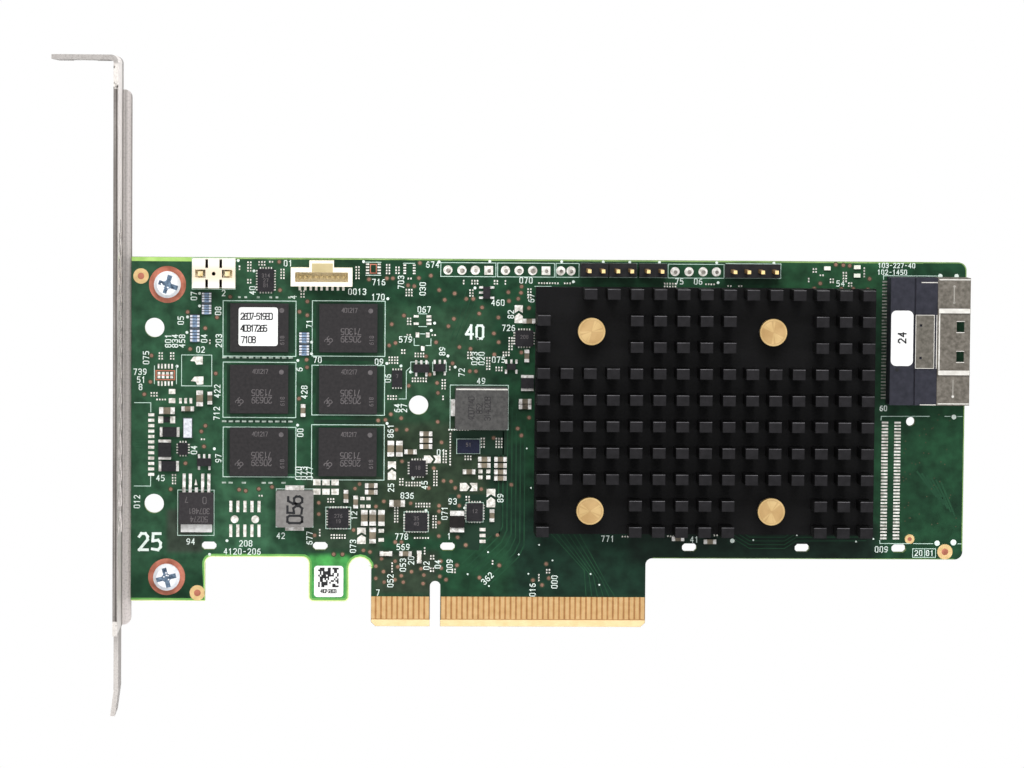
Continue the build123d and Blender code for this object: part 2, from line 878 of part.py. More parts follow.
def chips(node, groups, low, align):
    """Write one node of blocks whose height goes by the size of the chip."""
    with BuildPart() as group:
        for size, blocks in groups.items():
            for x, y, length, width in blocks:
                with Locations((x, y, low)):
                    Box(length, width, chip_sizes[size][2], align=align)
    keep(group, node)


chips("ceramic_bodies", chip_bodies, 0, LOW)
chips("ceramic_ends", chip_ends, 0, LOW)

# Ceramic chips on the solder side, under the controller
back_length, back_width, back_height = chip_sizes[2]
back_bodies = []
back_ends = []
for column in range(back_chip_columns):
    for row in range(back_chip_rows):
        x = controller_x + (column - (back_chip_columns - 1) / 2) * back_chip_pitch
        y = controller_y + (row - (back_chip_rows - 1) / 2) * back_chip_pitch
        body, ends = two_ended(x, y, back_length, back_width, "x", back_length * chip_end_share)
        back_bodies.append(body)
        back_ends.extend(ends)
chips("back_ceramic_bodies", {2: back_bodies}, board_bottom, HIGH)
chips("back_ceramic_ends", {2: back_ends}, board_bottom, HIGH)

# Leadless logic chips
for i, place in enumerate(logic_chips):
    boxes(f"logic_chip_{i + 1}", [place], chip_height)

# Resistor networks, status lights and the label on the board tab
boxes("resistor_networks", resistor_networks, resistor_height)
boxes(
    "status_lights",
    [(port_left + x, y, led_length, led_width) for x, y in led_from_port],
    led_height,
)
label("tab_label", tab_label_place, (tab_label_length, tab_label_width), tab_label_corner, 0)

# Battery connector: block with two wells, a middle dimple and four slits
battery_x, battery_y = battery_place
with BuildPart() as battery_connector:
    with Locations((battery_x, battery_y)):
        Box(battery_length, battery_width, battery_height, align=LOW)
    with BuildSketch(Plane.XY.offset(battery_height)):
        with Locations((battery_x, battery_y)):
            with GridLocations(2 * battery_pin_offset, 1, 2, 1):
                Rectangle(battery_well_length, battery_well_width)
    extrude(amount=-(battery_height - battery_floor), mode=Mode.SUBTRACT)
    with BuildSketch(Plane.XY.offset(battery_height)):
        with Locations((battery_x, battery_y)):
            Circle(battery_dimple_radius)
            for side in (-1, 1):
                slit_y = side * (battery_width - battery_slit_length) / 2
                with Locations((-battery_slit_offset, slit_y), (battery_slit_offset, slit_y)):
                    Rectangle(battery_slit_width, battery_slit_length)
    extrude(amount=-battery_slit_depth, mode=Mode.SUBTRACT)
keep(battery_connector, "battery_connector")
boxes(
    "battery_pins",
    [
        (battery_x + side * battery_pin_offset, battery_y, battery_pin_width, battery_pin_width)
        for side in (-1, 1)
    ],
    battery_pin_height,
    battery_floor,
)

# Nine-way connector: open box with a keying bulge, and its contacts
nine_x, nine_y = nine_way_place
nine_key_y = nine_y + (nine_way_width + nine_way_key_width) / 2
with BuildPart() as nine_way_connector:
    with Locations((nine_x, nine_y)):
        Box(nine_way_length, nine_way_width, nine_way_height, align=LOW)
    with Locations((nine_x, nine_key_y)):
        Box(nine_way_key_length, nine_way_key_width, nine_way_height, align=LOW)
    with BuildSketch(Plane.XY.offset(nine_way_height)):
        with Locations((nine_x, nine_y)):
            Rectangle(nine_way_length - 2 * nine_way_wall, nine_way_width - 2 * nine_way_wall)
    extrude(amount=-(nine_way_height - nine_way_floor), mode=Mode.SUBTRACT)
keep(nine_way_connector, "nine_way_connector")
nine_xs = [
    nine_x + (i - (nine_way_leads - 1) / 2) * nine_way_pitch for i in range(nine_way_leads)
]
nine_lead_y = nine_y - (nine_way_width + nine_way_lead_reach) / 2
with BuildPart() as nine_way_contacts:
    for x in nine_xs:
        with Locations((x, nine_lead_y)):
            Box(nine_way_lead_width, nine_way_lead_reach, nine_way_lead_height, align=LOW)
        with Locations((x, nine_y, nine_way_floor)):
            Box(nine_way_lead_width, nine_way_lead_width, nine_way_pin_height, align=LOW)
keep(nine_way_contacts, "nine_way_contacts")

# Pin headers and their pins
for i, (start, count) in enumerate(zip(header_starts_x, header_counts)):
    middle_x = start + (count - 1) * header_pitch / 2
    with BuildPart() as pin_header:
        with Locations((middle_x, header_y)):
            Box(count * header_pitch, header_width, header_base_height, align=LOW)
        with BuildSketch(Plane.XY):
            with Locations((middle_x, header_y)):
                with GridLocations(header_pitch, 1, count, 1):
                    Rectangle(pin_hole, pin_hole)
        extrude(amount=header_base_height, mode=Mode.SUBTRACT)
    keep(pin_header, f"pin_header_{i + 1}")
boxes(
    "header_pins",
    [(x, y, header_pin_width, header_pin_width) for x, y in header_pin_places],
    header_pin_top + board_thickness + header_tail,
    board_bottom - header_tail,
)

# Drive cable port: moulded housing with a nose inside a metal shell
shell_back = port_housing_right - shell_grip
nose_inset = shell_wall + shell_fit
with BuildPart() as port_housing:
    with Locations((port_left, port_middle_y)):
        Box(
            shell_back - shell_fit - port_left,
            port_width,
            port_height,
            align=(Align.MIN, Align.CENTER, Align.MIN),
        )
    with Locations((port_left + port_rear_length, port_middle_y, port_height)):
        Box(
            port_groove_width,
            port_width,
            port_groove_depth,
            align=(Align.CENTER, Align.CENTER, Align.MAX),
            mode=Mode.SUBTRACT,
        )
    with Locations((shell_back - shell_fit, port_middle_y)):
        Box(
            shell_grip + shell_fit,
            port_width - 2 * nose_inset,
            port_height - nose_inset,
            align=(Align.MIN, Align.CENTER, Align.MIN),
        )
    with Locations((port_housing_right, port_middle_y, port_height / 2)):
        Box(
            blade_slot_depth,
            blade_slot_width,
            blade_slot_height,
            align=(Align.MAX, Align.CENTER, Align.CENTER),
            mode=Mode.SUBTRACT,
        )
keep(port_housing, "port_housing")
with BuildPart() as port_shell:
    shell_length = shell_front - shell_back
    shell_end = Plane.YZ.offset(shell_back)
    with BuildSketch(shell_end):
        with Locations((port_middle_y, 0)):
            Rectangle(port_width, port_height, align=(Align.CENTER, Align.MIN))
        chamfer(
            vertices().filter_by(lambda v: v.Z > port_height - 0.1), shell_corner
        )
        with Locations((port_middle_y, 0)):
            Rectangle(
                port_width - 2 * shell_wall,
                port_height - shell_wall,
                align=(Align.CENTER, Align.MIN),
                mode=Mode.SUBTRACT,
            )
        with Locations((port_middle_y, port_height)):
            with GridLocations(2 * shell_rib_offset, 1, 2, 1):
                Rectangle(shell_rib_width, shell_rib_height, align=(Align.CENTER, Align.MIN))
    extrude(amount=shell_length)
    with BuildSketch(Plane.XY.offset(port_height - shell_wall)):
        with Locations((shell_front - latch_window_from_front, port_middle_y)):
            with GridLocations(1, 2 * latch_window_offset, 1, 2):
                Rectangle(latch_window_length, latch_window_width)
    extrude(amount=shell_wall, mode=Mode.SUBTRACT)
keep(port_shell, "port_shell")
with BuildPart() as port_latch_plate:
    with BuildSketch(Plane.XY.offset(port_height)):
        with Locations((port_left + latch_plate_from_port, port_middle_y)):
            Rectangle(latch_plate_length, latch_plate_width)
            with Locations((-latch_plate_hole_shift, 0)):
                with GridLocations(1, 2 * latch_plate_hole_offset, 1, 2):
                    Rectangle(latch_plate_hole, latch_plate_hole, mode=Mode.SUBTRACT)
    extrude(amount=latch_plate_thickness)
keep(port_latch_plate, "port_latch_plate")
label(
    "port_label",
    (port_left + port_label_from_port, port_middle_y + port_label_shift),
    (port_label_length, port_label_width),
    port_label_corner,
    port_height,
)
boxes(
    "port_contacts",
    [
        (
            port_left - port_tail_reach / 2,
            port_middle_y + (i - (port_contacts_count - 1) / 2) * port_contact_pitch,
            port_tail_reach,
            port_tail_width,
        )
        for i in range(port_contacts_count)
    ],
    port_tail_thickness,
)
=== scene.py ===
import math
import random

import bpy
from mathutils import Matrix, Vector


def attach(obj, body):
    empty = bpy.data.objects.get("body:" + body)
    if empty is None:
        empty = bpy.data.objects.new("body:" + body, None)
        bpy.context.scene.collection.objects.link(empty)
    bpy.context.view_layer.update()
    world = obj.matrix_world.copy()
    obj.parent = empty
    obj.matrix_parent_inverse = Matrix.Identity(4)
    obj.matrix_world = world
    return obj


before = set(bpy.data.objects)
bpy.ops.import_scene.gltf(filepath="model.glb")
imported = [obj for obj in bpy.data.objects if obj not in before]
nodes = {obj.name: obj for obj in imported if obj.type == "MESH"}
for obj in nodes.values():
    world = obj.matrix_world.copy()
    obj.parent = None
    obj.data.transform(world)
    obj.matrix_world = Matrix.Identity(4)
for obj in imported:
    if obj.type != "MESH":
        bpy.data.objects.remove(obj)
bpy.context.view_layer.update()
random.seed(7)

MM = 0.001

# Board outline, in millimetres
BOARD_LEFT = -56.2
BOARD_RIGHT = 98.05
BOARD_TOP = 68.15
BOARD_STEP = 12.85
LEG_RIGHT = -42.5
LEG_BOTTOM = 4.65
TAB_LEFT = -23.4
TAB_RIGHT = -16.0
TONGUE_LEFT = -11.85
TONGUE_RIGHT = 39.0

# Heights of the printed layers above the component face
COPPER_Z = 0.012
PAD_Z = 0.022
INK_Z = 0.03
SOLDER_Z = 0.04

# Print and fine lines lie this far above the top of a piece, and polygons of a layer this far apart
FILM = 0.012
HAIR = 0.01
LAYER_STEP = 0.0015

# Tops of the pieces that carry print or fine lines
TAB_LABEL_TOP = 0.1
CERAMIC_TOP = 0.55
PAD_CHIP_TOP = 0.7
CHIP_TOP = 0.85
MEMORY_TOP = 1.1
MEMORY_LABEL_TOP = 1.2
SCREW_TOP = 1.7
REGULATOR_TOP = 2.3
LOW_CHOKE_TOP = 3.0
NINE_WAY_TOP = 3.6
CHOKE_TOP = 4.0
PORT_TOP = 5.5
PORT_LABEL_TOP = 5.6
LATCH_PLATE_TOP = 5.75
PUSH_PIN_TOP = 9.5
FIN_TOP = 12.0

materials = {}


def linear(channel):
    """Turn one display colour channel, 0 to 255, into a linear value."""
    value = channel / 255
    if value <= 0.04045:
        return value / 12.92
    return ((value + 0.055) / 1.055) ** 2.4


def colour(tint):
    """Give the linear colour, with full alpha, of a display tint."""
    red, green, blue = tint
    return (linear(red), linear(green), linear(blue), 1.0)


def new_material(name, base, rough=0.5, metal=0.0, shine=0.25):
    """Make a material, keep it under its name, and give its shader and node tree."""
    material = bpy.data.materials.new(name)
    materials[name] = material
    material.use_nodes = True
    tree = material.node_tree
    shader = tree.nodes["Principled BSDF"]
    shader.inputs["Base Color"].default_value = colour(base)
    shader.inputs["Roughness"].default_value = rough
    shader.inputs["Metallic"].default_value = metal
    shader.inputs["Specular IOR Level"].default_value = shine
    return shader, tree


def place_node(tree):
    """Give the position of the shading point, in object space."""
    return tree.nodes.new("ShaderNodeTexCoord").outputs["Object"]


def axes(tree, source):
    """Split a vector into its three outputs."""
    node = tree.nodes.new("ShaderNodeSeparateXYZ")
    tree.links.new(source, node.inputs["Vector"])
    return node.outputs["X"], node.outputs["Y"], node.outputs["Z"]


def facing(tree):
    """Give the three parts of the face direction."""
    return axes(tree, tree.nodes.new("ShaderNodeNewGeometry").outputs["True Normal"])


def noise(tree, scale, detail=3.0, stretch=None):
    """Add noise over the position, and give its output."""
    texture = tree.nodes.new("ShaderNodeTexNoise")
    texture.inputs["Scale"].default_value = scale
    texture.inputs["Detail"].default_value = detail
    source = place_node(tree)
    if stretch:
        mapping = tree.nodes.new("ShaderNodeMapping")
        mapping.inputs["Scale"].default_value = stretch
        tree.links.new(source, mapping.inputs["Vector"])
        source = mapping.outputs["Vector"]
    tree.links.new(source, texture.inputs["Vector"])
    return texture.outputs["Fac"]


def ramp(tree, factor, stops):
    """Add a colour ramp over a factor, from positions and display tints, and give its output."""
    node = tree.nodes.new("ShaderNodeValToRGB")
    elements = node.color_ramp.elements
    for element, (position, tint) in zip(elements, (stops[0], stops[-1])):
        element.position = position
        element.color = colour(tint)
    for position, tint in stops[1:-1]:
        elements.new(position).color = colour(tint)
    tree.links.new(factor, node.inputs["Fac"])
    return node.outputs["Color"]


def blend(tree, factor, first, second, kind="MIX"):
    """Mix two colours, each a display tint or an output, by a number or an output."""
    node = tree.nodes.new("ShaderNodeMix")
    node.data_type = "RGBA"
    node.blend_type = kind
    for socket, value in (("Factor", factor), ("A", first), ("B", second)):
        if isinstance(value, tuple):
            node.inputs[socket].default_value = colour(value)
        elif isinstance(value, float):
            node.inputs[socket].default_value = value
        else:
            tree.links.new(value, node.inputs[socket])
    return node.outputs["Result"]


def calculate(tree, operation, first, second=0.0):
    """Do one sum on outputs or constants."""
    node = tree.nodes.new("ShaderNodeMath")
    node.operation = operation
    for i, value in enumerate((first, second)):
        if isinstance(value, float):
            node.inputs[i].default_value = value
        else:
            tree.links.new(value, node.inputs[i])
    return node.outputs["Value"]


def rise(tree, value, low, high, kind="SMOOTHSTEP"):
    """Rise from 0 to 1 as a value goes from low to high, in millimetres."""
    node = tree.nodes.new("ShaderNodeMapRange")
    node.interpolation_type = kind
    node.inputs["From Min"].default_value = low * MM
    node.inputs["From Max"].default_value = high * MM
    tree.links.new(value, node.inputs["Value"])
    return node.outputs["Result"]


def soft_box(tree, place, x0, x1, y0, y1, soft):
    """Give 1 inside a rectangle of the board and 0 outside, with a soft edge."""
    sides = []
    for value, low, high in ((place[0], x0, x1), (place[1], y0, y1)):
        start = rise(tree, value, low - soft, low + soft)
        end = rise(tree, value, high + soft, high - soft)
        sides.append(calculate(tree, "MULTIPLY", start, end))
    return calculate(tree, "MULTIPLY", *sides)


# Camera, placed by fitting the card's edges in the photograph
CAMERA_PLACE = Vector((-18.04, 93.5, 757.78)) * MM
CAMERA_AIM = Vector((13.927, 45.124, 0)) * MM
CAMERA_ROLL = 0.0083

forward = (CAMERA_AIM - CAMERA_PLACE).normalized()
level = forward.cross(Vector((0, 1, 0))).normalized()
above = level.cross(forward)
right = level * math.cos(CAMERA_ROLL) + above * math.sin(CAMERA_ROLL)
up = above * math.cos(CAMERA_ROLL) - level * math.sin(CAMERA_ROLL)
camera_data = bpy.data.cameras.new("camera")
camera_data.lens = 144.63
camera_data.sensor_width = 36.0
camera_data.sensor_fit = "HORIZONTAL"
camera_data.clip_start = 0.01
camera_data.clip_end = 20.0
camera = bpy.data.objects.new("camera", camera_data)
turned = Matrix((right, up, -forward)).transposed().to_4x4()
camera.matrix_world = Matrix.Translation(CAMERA_PLACE) @ turned
bpy.context.scene.collection.objects.link(camera)
bpy.context.scene.camera = camera
bpy.context.scene.view_settings.view_transform = "Standard"

# Floor: plain white to the camera, pale to the light
floor_shader, floor_tree = new_material("floor", (225, 225, 225), 0.9)
floor_light = floor_tree.nodes.new("ShaderNodeEmission")
floor_light.inputs["Color"].default_value = (1.0, 1.0, 1.0, 1.0)
floor_light.inputs["Strength"].default_value = 1.0
floor_path = floor_tree.nodes.new("ShaderNodeLightPath")
floor_mix = floor_tree.nodes.new("ShaderNodeMixShader")
floor_out = floor_tree.nodes["Material Output"]
floor_tree.links.new(floor_path.outputs["Is Camera Ray"], floor_mix.inputs["Fac"])
floor_tree.links.new(floor_shader.outputs["BSDF"], floor_mix.inputs[1])
floor_tree.links.new(floor_light.outputs["Emission"], floor_mix.inputs[2])
floor_tree.links.new(floor_mix.outputs["Shader"], floor_out.inputs["Surface"])
bpy.ops.mesh.primitive_plane_add(size=6.0, location=(0.02, 0.045, -0.0062))
floor = bpy.context.object
floor.name = "floor"
floor.data.materials.append(materials["floor"])


def lamp(name, place, aim, size, power):
    """Add a square soft lamp at a place, turned to an aim point."""
    data = bpy.data.lights.new(name, "AREA")
    data.size = size
    data.energy = power
    lamp_object = bpy.data.objects.new(name, data)
    lamp_object.location = place
    direction = Vector(aim) - Vector(place)
    lamp_object.rotation_euler = direction.to_track_quat("-Z", "Y").to_euler()
    bpy.context.scene.collection.objects.link(lamp_object)


lamp("key", (0.0, 0.75, 0.75), (0.02, 0.04, 0.0), 0.7, 10.5)
lamp("left", (-0.8, 0.1, 0.55), (0.0, 0.04, 0.0), 0.6, 4.2)
lamp("right", (0.85, 0.0, 0.6), (0.02, 0.04, 0.0), 0.6, 3.6)
lamp("low", (0.05, -0.8, 0.6), (0.02, 0.04, 0.0), 0.6, 3.0)

world = bpy.data.worlds.new("world")
world.use_nodes = True
world_shader = world.node_tree.nodes["Background"]
world_shader.inputs["Color"].default_value = (0.8, 0.82, 0.85, 1.0)
world_shader.inputs["Strength"].default_value = 0.35
bpy.context.scene.world = world


def mesh_piece(name, vertices, faces, material):
    """Make a mesh piece from millimetre vertices, riding on the card."""
    mesh = bpy.data.meshes.new(name)
    mesh.from_pydata([(x * MM, y * MM, z * MM) for x, y, z in vertices], [], faces)
    mesh.materials.append(materials[material])
    piece = bpy.data.objects.new(name, mesh)
    bpy.context.scene.collection.objects.link(piece)
    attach(piece, "root")


def around(x, y, radius, angle):
    """Give the point of a circle at an angle."""
    return (x + radius * math.cos(angle), y + radius * math.sin(angle))


class Print:
    """A flat printed layer: polygons gathered at a height, a hair apart, as one mesh."""

    def __init__(self, z):
        self.z = z
        self.vertices = []
        self.faces = []

    def polygon(self, points):
        """Add one flat polygon."""
        start = len(self.vertices)
        z = self.z + LAYER_STEP * (len(self.faces) % 7)
        self.vertices.extend((x, y, z) for x, y in points)
        self.faces.append(tuple(range(start, len(self.vertices))))

    def box(self, x, y, length, width):
        """Add a rectangle by its middle."""
        a = length / 2
        b = width / 2
        self.polygon([(x - a, y - b), (x + a, y - b), (x + a, y + b), (x - a, y + b)])

    def disc(self, x, y, radius, sides=20):
        """Add a round spot."""
        self.polygon([around(x, y, radius, math.tau * i / sides) for i in range(sides)])

    def ring(self, x, y, inner, outer, sides=28):
        """Add a ring made of short quads."""
        for i in range(sides):
            a = math.tau * i / sides
            b = math.tau * (i + 1) / sides
            near = [around(x, y, inner, a), around(x, y, outer, a)]
            self.polygon(near + [around(x, y, outer, b), around(x, y, inner, b)])

    def line(self, points, width):
        """Add a line of straight runs of one width."""
        for (x0, y0), (x1, y1) in zip(points, points[1:]):
            length = math.hypot(x1 - x0, y1 - y0)
            dx = (x1 - x0) / length * width / 2
            dy = (y1 - y0) / length * width / 2
            near = [(x0 - dx + dy, y0 - dy - dx), (x1 + dx + dy, y1 + dy - dx)]
            self.polygon(near + [(x1 + dx - dy, y1 + dy + dx), (x0 - dx - dy, y0 - dy + dx)])

    def outline(self, x, y, length, width, stroke):
        """Add the four sides of a rectangle."""
        a = length / 2
        b = width / 2
        corners = [(x - a, y - b), (x + a, y - b), (x + a, y + b), (x - a, y + b), (x - a, y - b)]
        self.line(corners, stroke)

    def number(self, text, x, y, height, turn=0, stroke=0.15, spread=0.36):
        """Add plain digits, centred on a point and turned by an angle in degrees."""
        unit = height / 4
        advance = height * (0.5 + spread)
        c = round(math.cos(math.radians(turn)), 6)
        s = round(math.sin(math.radians(turn)), 6)
        start = -(len(text) - 1) * advance / 2 - unit
        for i, digit in enumerate(text):
            for run in DIGITS[digit]:
                points = []
                for px, py in run:
                    u = start + i * advance + px * unit
                    v = (py - 2) * unit
                    points.append((x + u * c - v * s, y + u * s + v * c))
                self.line(points, stroke)

    def make(self, name, material, slot):
        """Turn what was gathered into a piece."""
        mesh_piece(name, self.vertices, self.faces, material)


# Strokes of each digit on a grid two wide and four high
DIGITS = {
    "0": [[(0.4, 0), (1.6, 0), (2, 0.6), (2, 3.4), (1.6, 4), (0.4, 4), (0, 3.4), (0, 0.6), (0.4, 0)]],
    "1": [[(0.4, 3.2), (1.1, 4), (1.1, 0)]],
    "2": [[(0, 3.3), (0.5, 4), (1.5, 4), (2, 3.3), (2, 2.5), (0, 0), (2, 0)]],
    "3": [[(0, 3.5), (0.5, 4), (1.5, 4), (2, 3.4), (2, 2.6), (1.4, 2.1), (0.8, 2.1)],
          [(1.4, 2.1), (2, 1.5), (2, 0.6), (1.5, 0), (0.5, 0), (0, 0.5)]],
    "4": [[(1.5, 0), (1.5, 4), (0, 1.3), (2, 1.3)]],
    "5": [[(1.9, 4), (0.2, 4), (0.1, 2.2), (1.4, 2.4), (2, 1.7), (2, 0.7), (1.4, 0), (0, 0.2)]],
    "6": [[(1.8, 3.8), (0.8, 3.8), (0, 2.5), (0, 0.7), (0.5, 0), (1.5, 0), (2, 0.7), (2, 1.6),
           (1.5, 2.2), (0.5, 2.2), (0, 1.6)]],
    "7": [[(0, 4), (2, 4), (0.8, 0)]],
    "8": [[(0.5, 2.1), (0, 2.7), (0, 3.4), (0.5, 4), (1.5, 4), (2, 3.4), (2, 2.7), (1.5, 2.1),
           (0.5, 2.1), (0, 1.5), (0, 0.6), (0.5, 0), (1.5, 0), (2, 0.6), (2, 1.5), (1.5, 2.1)]],
    "9": [[(0.2, 0.2), (1.2, 0.2), (2, 1.5), (2, 3.3), (1.5, 4), (0.5, 4), (0, 3.3), (0, 2.4),
           (0.5, 1.8), (1.5, 1.8), (2, 2.4)]],
    "-": [[(0.4, 2), (1.6, 2)]],
}


def solder_mask():
    """Make the board's mask: two greens, tinted fields, fine grain, and pale laminate on the edges."""
    shader, tree = new_material("solder_mask", (26, 60, 40), 0.35)
    place = axes(tree, place_node(tree))
    tint = ramp(tree, noise(tree, 70), [(0.35, (26, 60, 40)), (0.65, (36, 80, 52))])
    for x0, x1, y0, y1, soft, field_tint in FIELDS:
        tint = blend(tree, soft_box(tree, place, x0, x1, y0, y1, soft), tint, field_tint)
    grain = ramp(tree, noise(tree, 420, 4.0), [(0.3, (176, 176, 176)), (0.7, (255, 255, 255))])
    tint = blend(tree, 1.0, tint, grain, "MULTIPLY")
    flat = calculate(tree, "ABSOLUTE", facing(tree)[2])
    tree.links.new(blend(tree, flat, (136, 158, 92), tint), shader.inputs["Base Color"])


def bracket_steel():
    """Make the bracket's steel with light and shade painted in: dark streaked front edge with a painted
    shade line, pale inner face with painted shade near the board, a lip banded with painted highlights and
    shade across its bend, and a darker top tab.
    """
    shader, tree = new_material("bracket_steel", (190, 186, 180), 0.42, 0.25)
    place = axes(tree, place_node(tree))
    x, y, z = place
    # Painted highlights and painted shade across the lip's bend, with the lip painted paler towards its low
    # end
    lip_light_bands = [
        (0.0, (140, 133, 129)), (0.18, (214, 208, 204)), (0.3, (180, 173, 169)),
        (0.62, (226, 219, 216)), (0.86, (206, 199, 196)), (1.0, (92, 86, 82)),
    ]
    lip = ramp(tree, rise(tree, x, -58.0, -56.2, "LINEAR"), lip_light_bands)
    lip_low = calculate(tree, "MULTIPLY", rise(tree, y, 60.0, 0.0), 0.7)
    lip = blend(tree, lip_low, lip, (255, 246, 243))
    streaks = noise(tree, 1400, stretch=(1.0, 0.04, 1.0))
    front = ramp(tree, streaks, [(0.3, (104, 98, 94)), (0.7, (164, 158, 154))])
    # Painted shade: a dark line along the front edge
    front_shade_line = soft_box(tree, place, -58.25, -58.05, 0.0, 99.0, 0.05)
    front = blend(tree, front_shade_line, front, (84, 78, 74))
    spots = ramp(tree, noise(tree, 900, 4.0), [(0.34, (64, 58, 54)), (0.42, (226, 220, 214))])
    for low, high, tint in ((98.7, 98.9, spots), (2.8, 2.5, spots), (0.2, -0.5, (206, 200, 195))):
        front = blend(tree, rise(tree, y, low, high), front, tint)
    face = blend(tree, rise(tree, z, 9.0, 10.0), lip, front)
    # Painted shade: the top tab a darker grey
    face = blend(tree, rise(tree, y, 103.0, 103.6), face, (176, 171, 167))
    # Inner face: painted shade low down near the board and pale painted light above; the face also goes
    # darker at its low end
    side_light_bands = [
        (0.0, (150, 143, 139)), (0.14, (100, 93, 89)), (0.3, (238, 230, 225)), (1.0, (246, 239, 234)),
    ]
    side = ramp(tree, rise(tree, z, -1.5, 17.0, "LINEAR"), side_light_bands)
    side = blend(tree, rise(tree, y, 0.5, 0.0), side, (150, 142, 136))
    sideways = calculate(tree, "ABSOLUTE", facing(tree)[0])
    speck = ramp(tree, noise(tree, 2600), [(0.38, (150, 146, 142)), (0.5, (255, 255, 255))])
    tint = blend(tree, 0.2, blend(tree, sideways, face, side), speck, "MULTIPLY")
    tree.links.new(tint, shader.inputs["Base Color"])


def two_level(name, top, inside, level):
    """Make a material that takes another tint below a height."""
    shader, tree = new_material(name, top, 0.5)
    height = axes(tree, place_node(tree))[2]
    tint = blend(tree, rise(tree, height, level - 0.15, level - 0.05), inside, top)
    tree.links.new(tint, shader.inputs["Base Color"])


def battery_plastic():
    """Make the ivory plastic of the battery connector, with painted shade: tan across the middle of its top
    and black in its slits, and a paler ivory below the top as painted light lifting the shade of the wells.
    """
    ivory = (246, 240, 226)
    shader, tree = new_material("battery_plastic", ivory, 0.5)
    place = axes(tree, place_node(tree))
    # Painted shade on the middle of the top and in the slits; below the top, paler ivory as painted light
    middle = soft_box(tree, place, -46.0, -36.0, 63.9, 66.6, 0.9)
    slit_shade = soft_box(tree, place, -42.6, -39.4, 62.75, 67.85, 0.04)
    low = blend(tree, slit_shade, (255, 246, 226), (26, 18, 12))
    high = blend(tree, middle, ivory, (232, 214, 190))
    tint = blend(tree, rise(tree, place[2], 4.45, 4.55), low, high)
    tree.links.new(tint, shader.inputs["Base Color"])


def mottled(name, low, high, rough=0.5, scale=900, metal=0.0, strength=0.0, shine=0.25):
    """Make a material whose colour drifts between two tints, with a bump where strength is given."""
    shader, tree = new_material(name, low, rough, metal, shine)
    drift = noise(tree, scale)
    tree.links.new(ramp(tree, drift, [(0.3, low), (0.7, high)]), shader.inputs["Base Color"])
    if strength:
        bump = tree.nodes.new("ShaderNodeBump")
        bump.inputs["Strength"].default_value = strength
        bump.inputs["Distance"].default_value = 0.0002
        tree.links.new(drift, bump.inputs["Height"])
        tree.links.new(bump.outputs["Normal"], shader.inputs["Normal"])


# Tinted fields of the board: left, right, low and high edge, softness and tint
FIELDS = (
    (-60.0, -24.0, 10.0, 70.0, 3.0, (48, 88, 62)),
    (-41.5, -30.0, 14.5, 26.5, 1.0, (58, 100, 72)),
    (-49.6, -43.0, 13.6, 21.6, 0.6, (62, 74, 62)),
    (-15.5, 13.0, 17.0, 38.5, 1.5, (50, 66, 48)),
    (-12.5, 10.0, 38.5, 59.0, 2.0, (48, 81, 57)),
    (9.5, 16.5, 17.0, 34.0, 1.0, (26, 54, 38)),
    (62.0, 83.0, 62.0, 69.0, 1.5, (40, 84, 54)),
    (-11.5, 0.5, 6.0, 14.0, 1.0, (54, 68, 52)),
    (-24.0, -10.0, 14.0, 28.0, 1.0, (52, 72, 54)),
    (14.0, 62.0, 5.0, 22.0, 2.0, (25, 54, 40)),
    (36.0, 82.0, 12.0, 20.0, 1.5, (22, 42, 32)),
    (-23.6, -15.8, 4.0, 13.2, 0.7, (82, 172, 88)),
)

